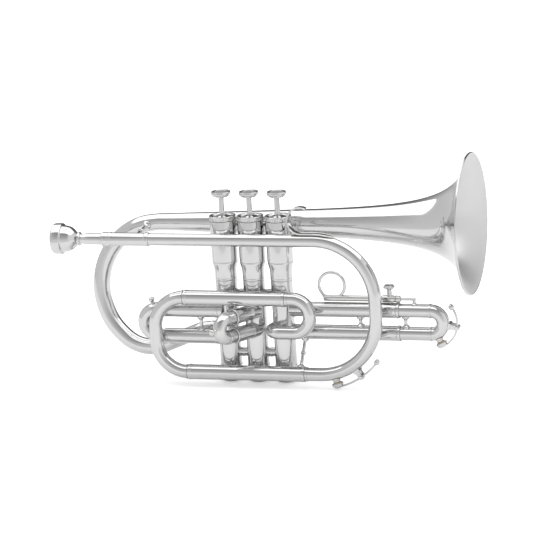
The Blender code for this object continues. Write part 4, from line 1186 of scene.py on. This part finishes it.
def bell_brace(look):
    """From the mouthpiece receiver across to the bell's loop."""
    top = [point for point in bell_loop()[0] if point.z > 100]
    after = next(i for i, point in enumerate(top) if point.x > BELL_BRACE_X)
    left, right = top[after - 1], top[after]
    end = left.lerp(right, (BELL_BRACE_X - left.x) / (right.x - left.x))
    start = Vector((BELL_BRACE_X, FRONT_Y, LEADPIPE_Z))
    near = facing(start, end, RECEIVER_RADIUS - 0.2)
    far = facing(end, start, BELL_LOOP_RADIUS - 0.2)
    seats = (X, RECEIVER_RADIUS), ((right - left).normalized(), BELL_LOOP_RADIUS)
    show("leadpipe_bell_brace", [stay(near, far, seats, 4.0, 1.7)], look)


def finger_hook(look):
    """Strip along the leadpipe's top that curls up and over for the little finger."""
    top = LEADPIPE_Z + LEADPIPE_START + 0.1
    tip = top - LEADPIPE_Z + FRONT_CROOK_RADIUS
    rows = []
    for step in range(15):
        x = HOOK_X + HOOK_FOOT * (1 - step / 14)
        past = max(0.0, x - FRONT_CROOK_X)
        fall = tip - math.sqrt(tip * tip - past * past)
        upward = Vector((past, 0, tip - fall)).normalized()
        half = HOOK_HALF_WIDTH * math.sin(math.pi / 2 * min(1, 0.25 + step / 6))
        rows.append((Vector((x, FRONT_Y, top - fall)) + upward * HOOK_LIFT, upward, half))
    curl = [(HOOK_CURL * step / 30, HOOK_HALF_WIDTH - 0.5 * (step / 30)) for step in range(1, 31)]
    for share in (0.35, 0.6, 0.8, 0.95, 1.0):
        curl.append((HOOK_CURL + 9 * share, 3.5 * math.sqrt(max(1 - share * share, 0.01))))
    middle = Vector((HOOK_X, FRONT_Y, top + HOOK_RADIUS))
    for degrees, half in curl:
        inward = arc_point((0, 0, 0), 180 - degrees, 1)
        rows.append((middle - inward * (HOOK_RADIUS - HOOK_LIFT), inward, half))
    rows = [(*row, HOOK_HALF_THICKNESS) for row in rows]
    show("little_finger_hook", [strip(rows, 0.35)], look)


# ---- studio


def floor():
    """Bright paper under the instrument, brighter still to the camera."""
    n = Nodes("floor_paper")
    look = n.finish(
        Base_Color=n.mix(n.noise(900, 3, 0.6), (0.92, 0.92, 0.92), (0.95, 0.95, 0.95)),
        Roughness=0.9,
        Specular_IOR_Level=0.2,
        Emission_Color=(1.0, 1.0, 1.0),
        Emission_Strength=n.spread(n.camera_ray(), 0, 1, *FLOOR_GLOW),
    )
    side, front = FLOOR_REACH, -FLOOR_FRONT
    corners = [(-side, front, 0), (side, front, 0), (side, side, 0), (-side, side, 0)]
    mesh = bpy.data.meshes.new("floor")
    mesh.from_pydata(corners, [], [(0, 1, 2, 3)])
    mesh.materials.append(look)
    add_object("floor", mesh)


def by_height(w, height, wall):
    """Wall brightness at a direction's height, from (height, brightness) pairs; heights are -1 to 1."""
    ramp = w.add("ShaderNodeValToRGB", {"Fac": w.spread(height, -1, 1, 0, 1)})
    stops = ramp.color_ramp.elements
    while len(stops) < len(wall):
        stops.new(0.5)
    for stop, (at, level) in zip(stops, wall):
        stop.position = (at + 1) / 2
        stop.color = (level, level, level, 1)
    return ramp.outputs["Color"]


def studio_world():
    """White tent walls in front and at the sides and a dark room behind; the camera sees plain white."""
    world = bpy.data.worlds.new("studio")
    world.use_nodes = True
    w = Wiring(world.node_tree)
    w.tree.nodes.clear()
    direction = w.add("ShaderNodeTexCoord").outputs["Generated"]
    along_x, along_y, height = w.add("ShaderNodeSeparateXYZ", {"Vector": direction}).outputs
    level = by_height(w, height, WALL_FRONT)
    for along, start, end, wall in (
        (along_y, (-0.3, 0.25), (0, 1), WALL_BACK),
        (along_x, (-0.7, -0.3), (1, 0), WALL_LEFT),
        (along_x, (0.45, 0.8), (0, 1), WALL_RIGHT),
    ):
        level = w.mix(w.spread(along, *start, *end), level, by_height(w, height, wall))
    lit = w.add("ShaderNodeBackground", {"Color": level}).outputs[0]
    seen = w.add("ShaderNodeBackground", {"Color": (1, 1, 1)}).outputs[0]
    chosen = w.add("ShaderNodeMixShader", {0: w.camera_ray(), 1: lit, 2: seen}).outputs[0]
    w.add("ShaderNodeOutputWorld", {"Surface": chosen})
    bpy.context.scene.world = world


def softbox():
    """A wide soft light straight above, facing down."""
    light = bpy.data.lights.new("overhead_softbox", "AREA")
    light.shape = "RECTANGLE"
    light.size = SOFTBOX_WIDTH
    light.size_y = SOFTBOX_DEPTH
    light.energy = SOFTBOX_RADIANCE * math.pi * SOFTBOX_WIDTH * SOFTBOX_DEPTH
    add_object(light.name, light).location = SOFTBOX_PLACE


def camera():
    """Looks at the target from the front and a little above, leaning over by a few degrees."""
    spin = Matrix.Identity(4)
    for degrees, axis in ((CAMERA_AZIMUTH, "Z"), (90 - CAMERA_ELEVATION, "X"), (-CAMERA_LEAN, "Z")):
        spin = spin @ Matrix.Rotation(math.radians(degrees), 4, axis)
    away = spin.col[2].to_3d()
    data = bpy.data.cameras.new("camera")
    data.sensor_width = 36
    data.lens = CAMERA_LENS
    data.clip_start = 0.05
    data.clip_end = 60
    obj = add_object(data.name, data)
    place = (Vector(CAMERA_TARGET) + away * CAMERA_DISTANCE) * MM
    obj.matrix_world = Matrix.Translation(place) @ spin
    bpy.context.scene.camera = obj


def valve_group(tubes, uprights, fittings, steel):
    monel = worn_metal("piston_metal", (0.60, 0.58, 0.55), 0.18, 0.34, (300, 300, 4200))
    pearl = mother_of_pearl("pearl")
    for number in (1, 2, 3):
        casing(number, uprights)
        top_cap(number, fittings)
        bottom_cap(number, fittings)
        button(number, fittings, pearl)
        piston(number, monel)
        spring(number, steel)
    for first in (1, 2):
        for level, height, radius in KNUCKLES:
            knuckle(first, level, height, radius, tubes)


def main():
    tubes = silver_plate("silver_tube")
    uprights = silver_plate("silver_upright", grain=(2200, 2200, 60))
    horn = silver_plate("silver_horn", (260, 1300, 1300), 0.07, 0.17)
    horn_inside = silver_plate("silver_bell_inside", (260, 260, 260), 0.40, 0.52)
    fittings = silver_plate("silver_turned", (900, 900, 900), 0.05, 0.12)
    legs = silver_plate("silver_leg", low_rough=0.06, high_rough=0.18)
    steel = worn_metal("spring_steel", (0.50, 0.51, 0.53), 0.22, 0.38, (900, 900, 900))

    valve_group(tubes, uprights, fittings, steel)
    mouthpiece(fittings)
    receiver(tubes)
    leadpipe(tubes)
    tuning_slide(tubes, legs)
    entry_crook(tubes)
    slides((tubes, legs))
    braces(fittings)
    finger_ring(fittings)
    thumb_screw(fittings)
    stop_rod(fittings)
    cork = natural_cork("cork")
    for key in WATER_KEYS:
        water_key(key, fittings, steel, cork)
    bell(horn, horn_inside)
    bell_brace(fittings)
    finger_hook(fittings)

    floor()
    studio_world()
    softbox()
    camera()
    bpy.context.scene.view_settings.view_transform = "Standard"


main()
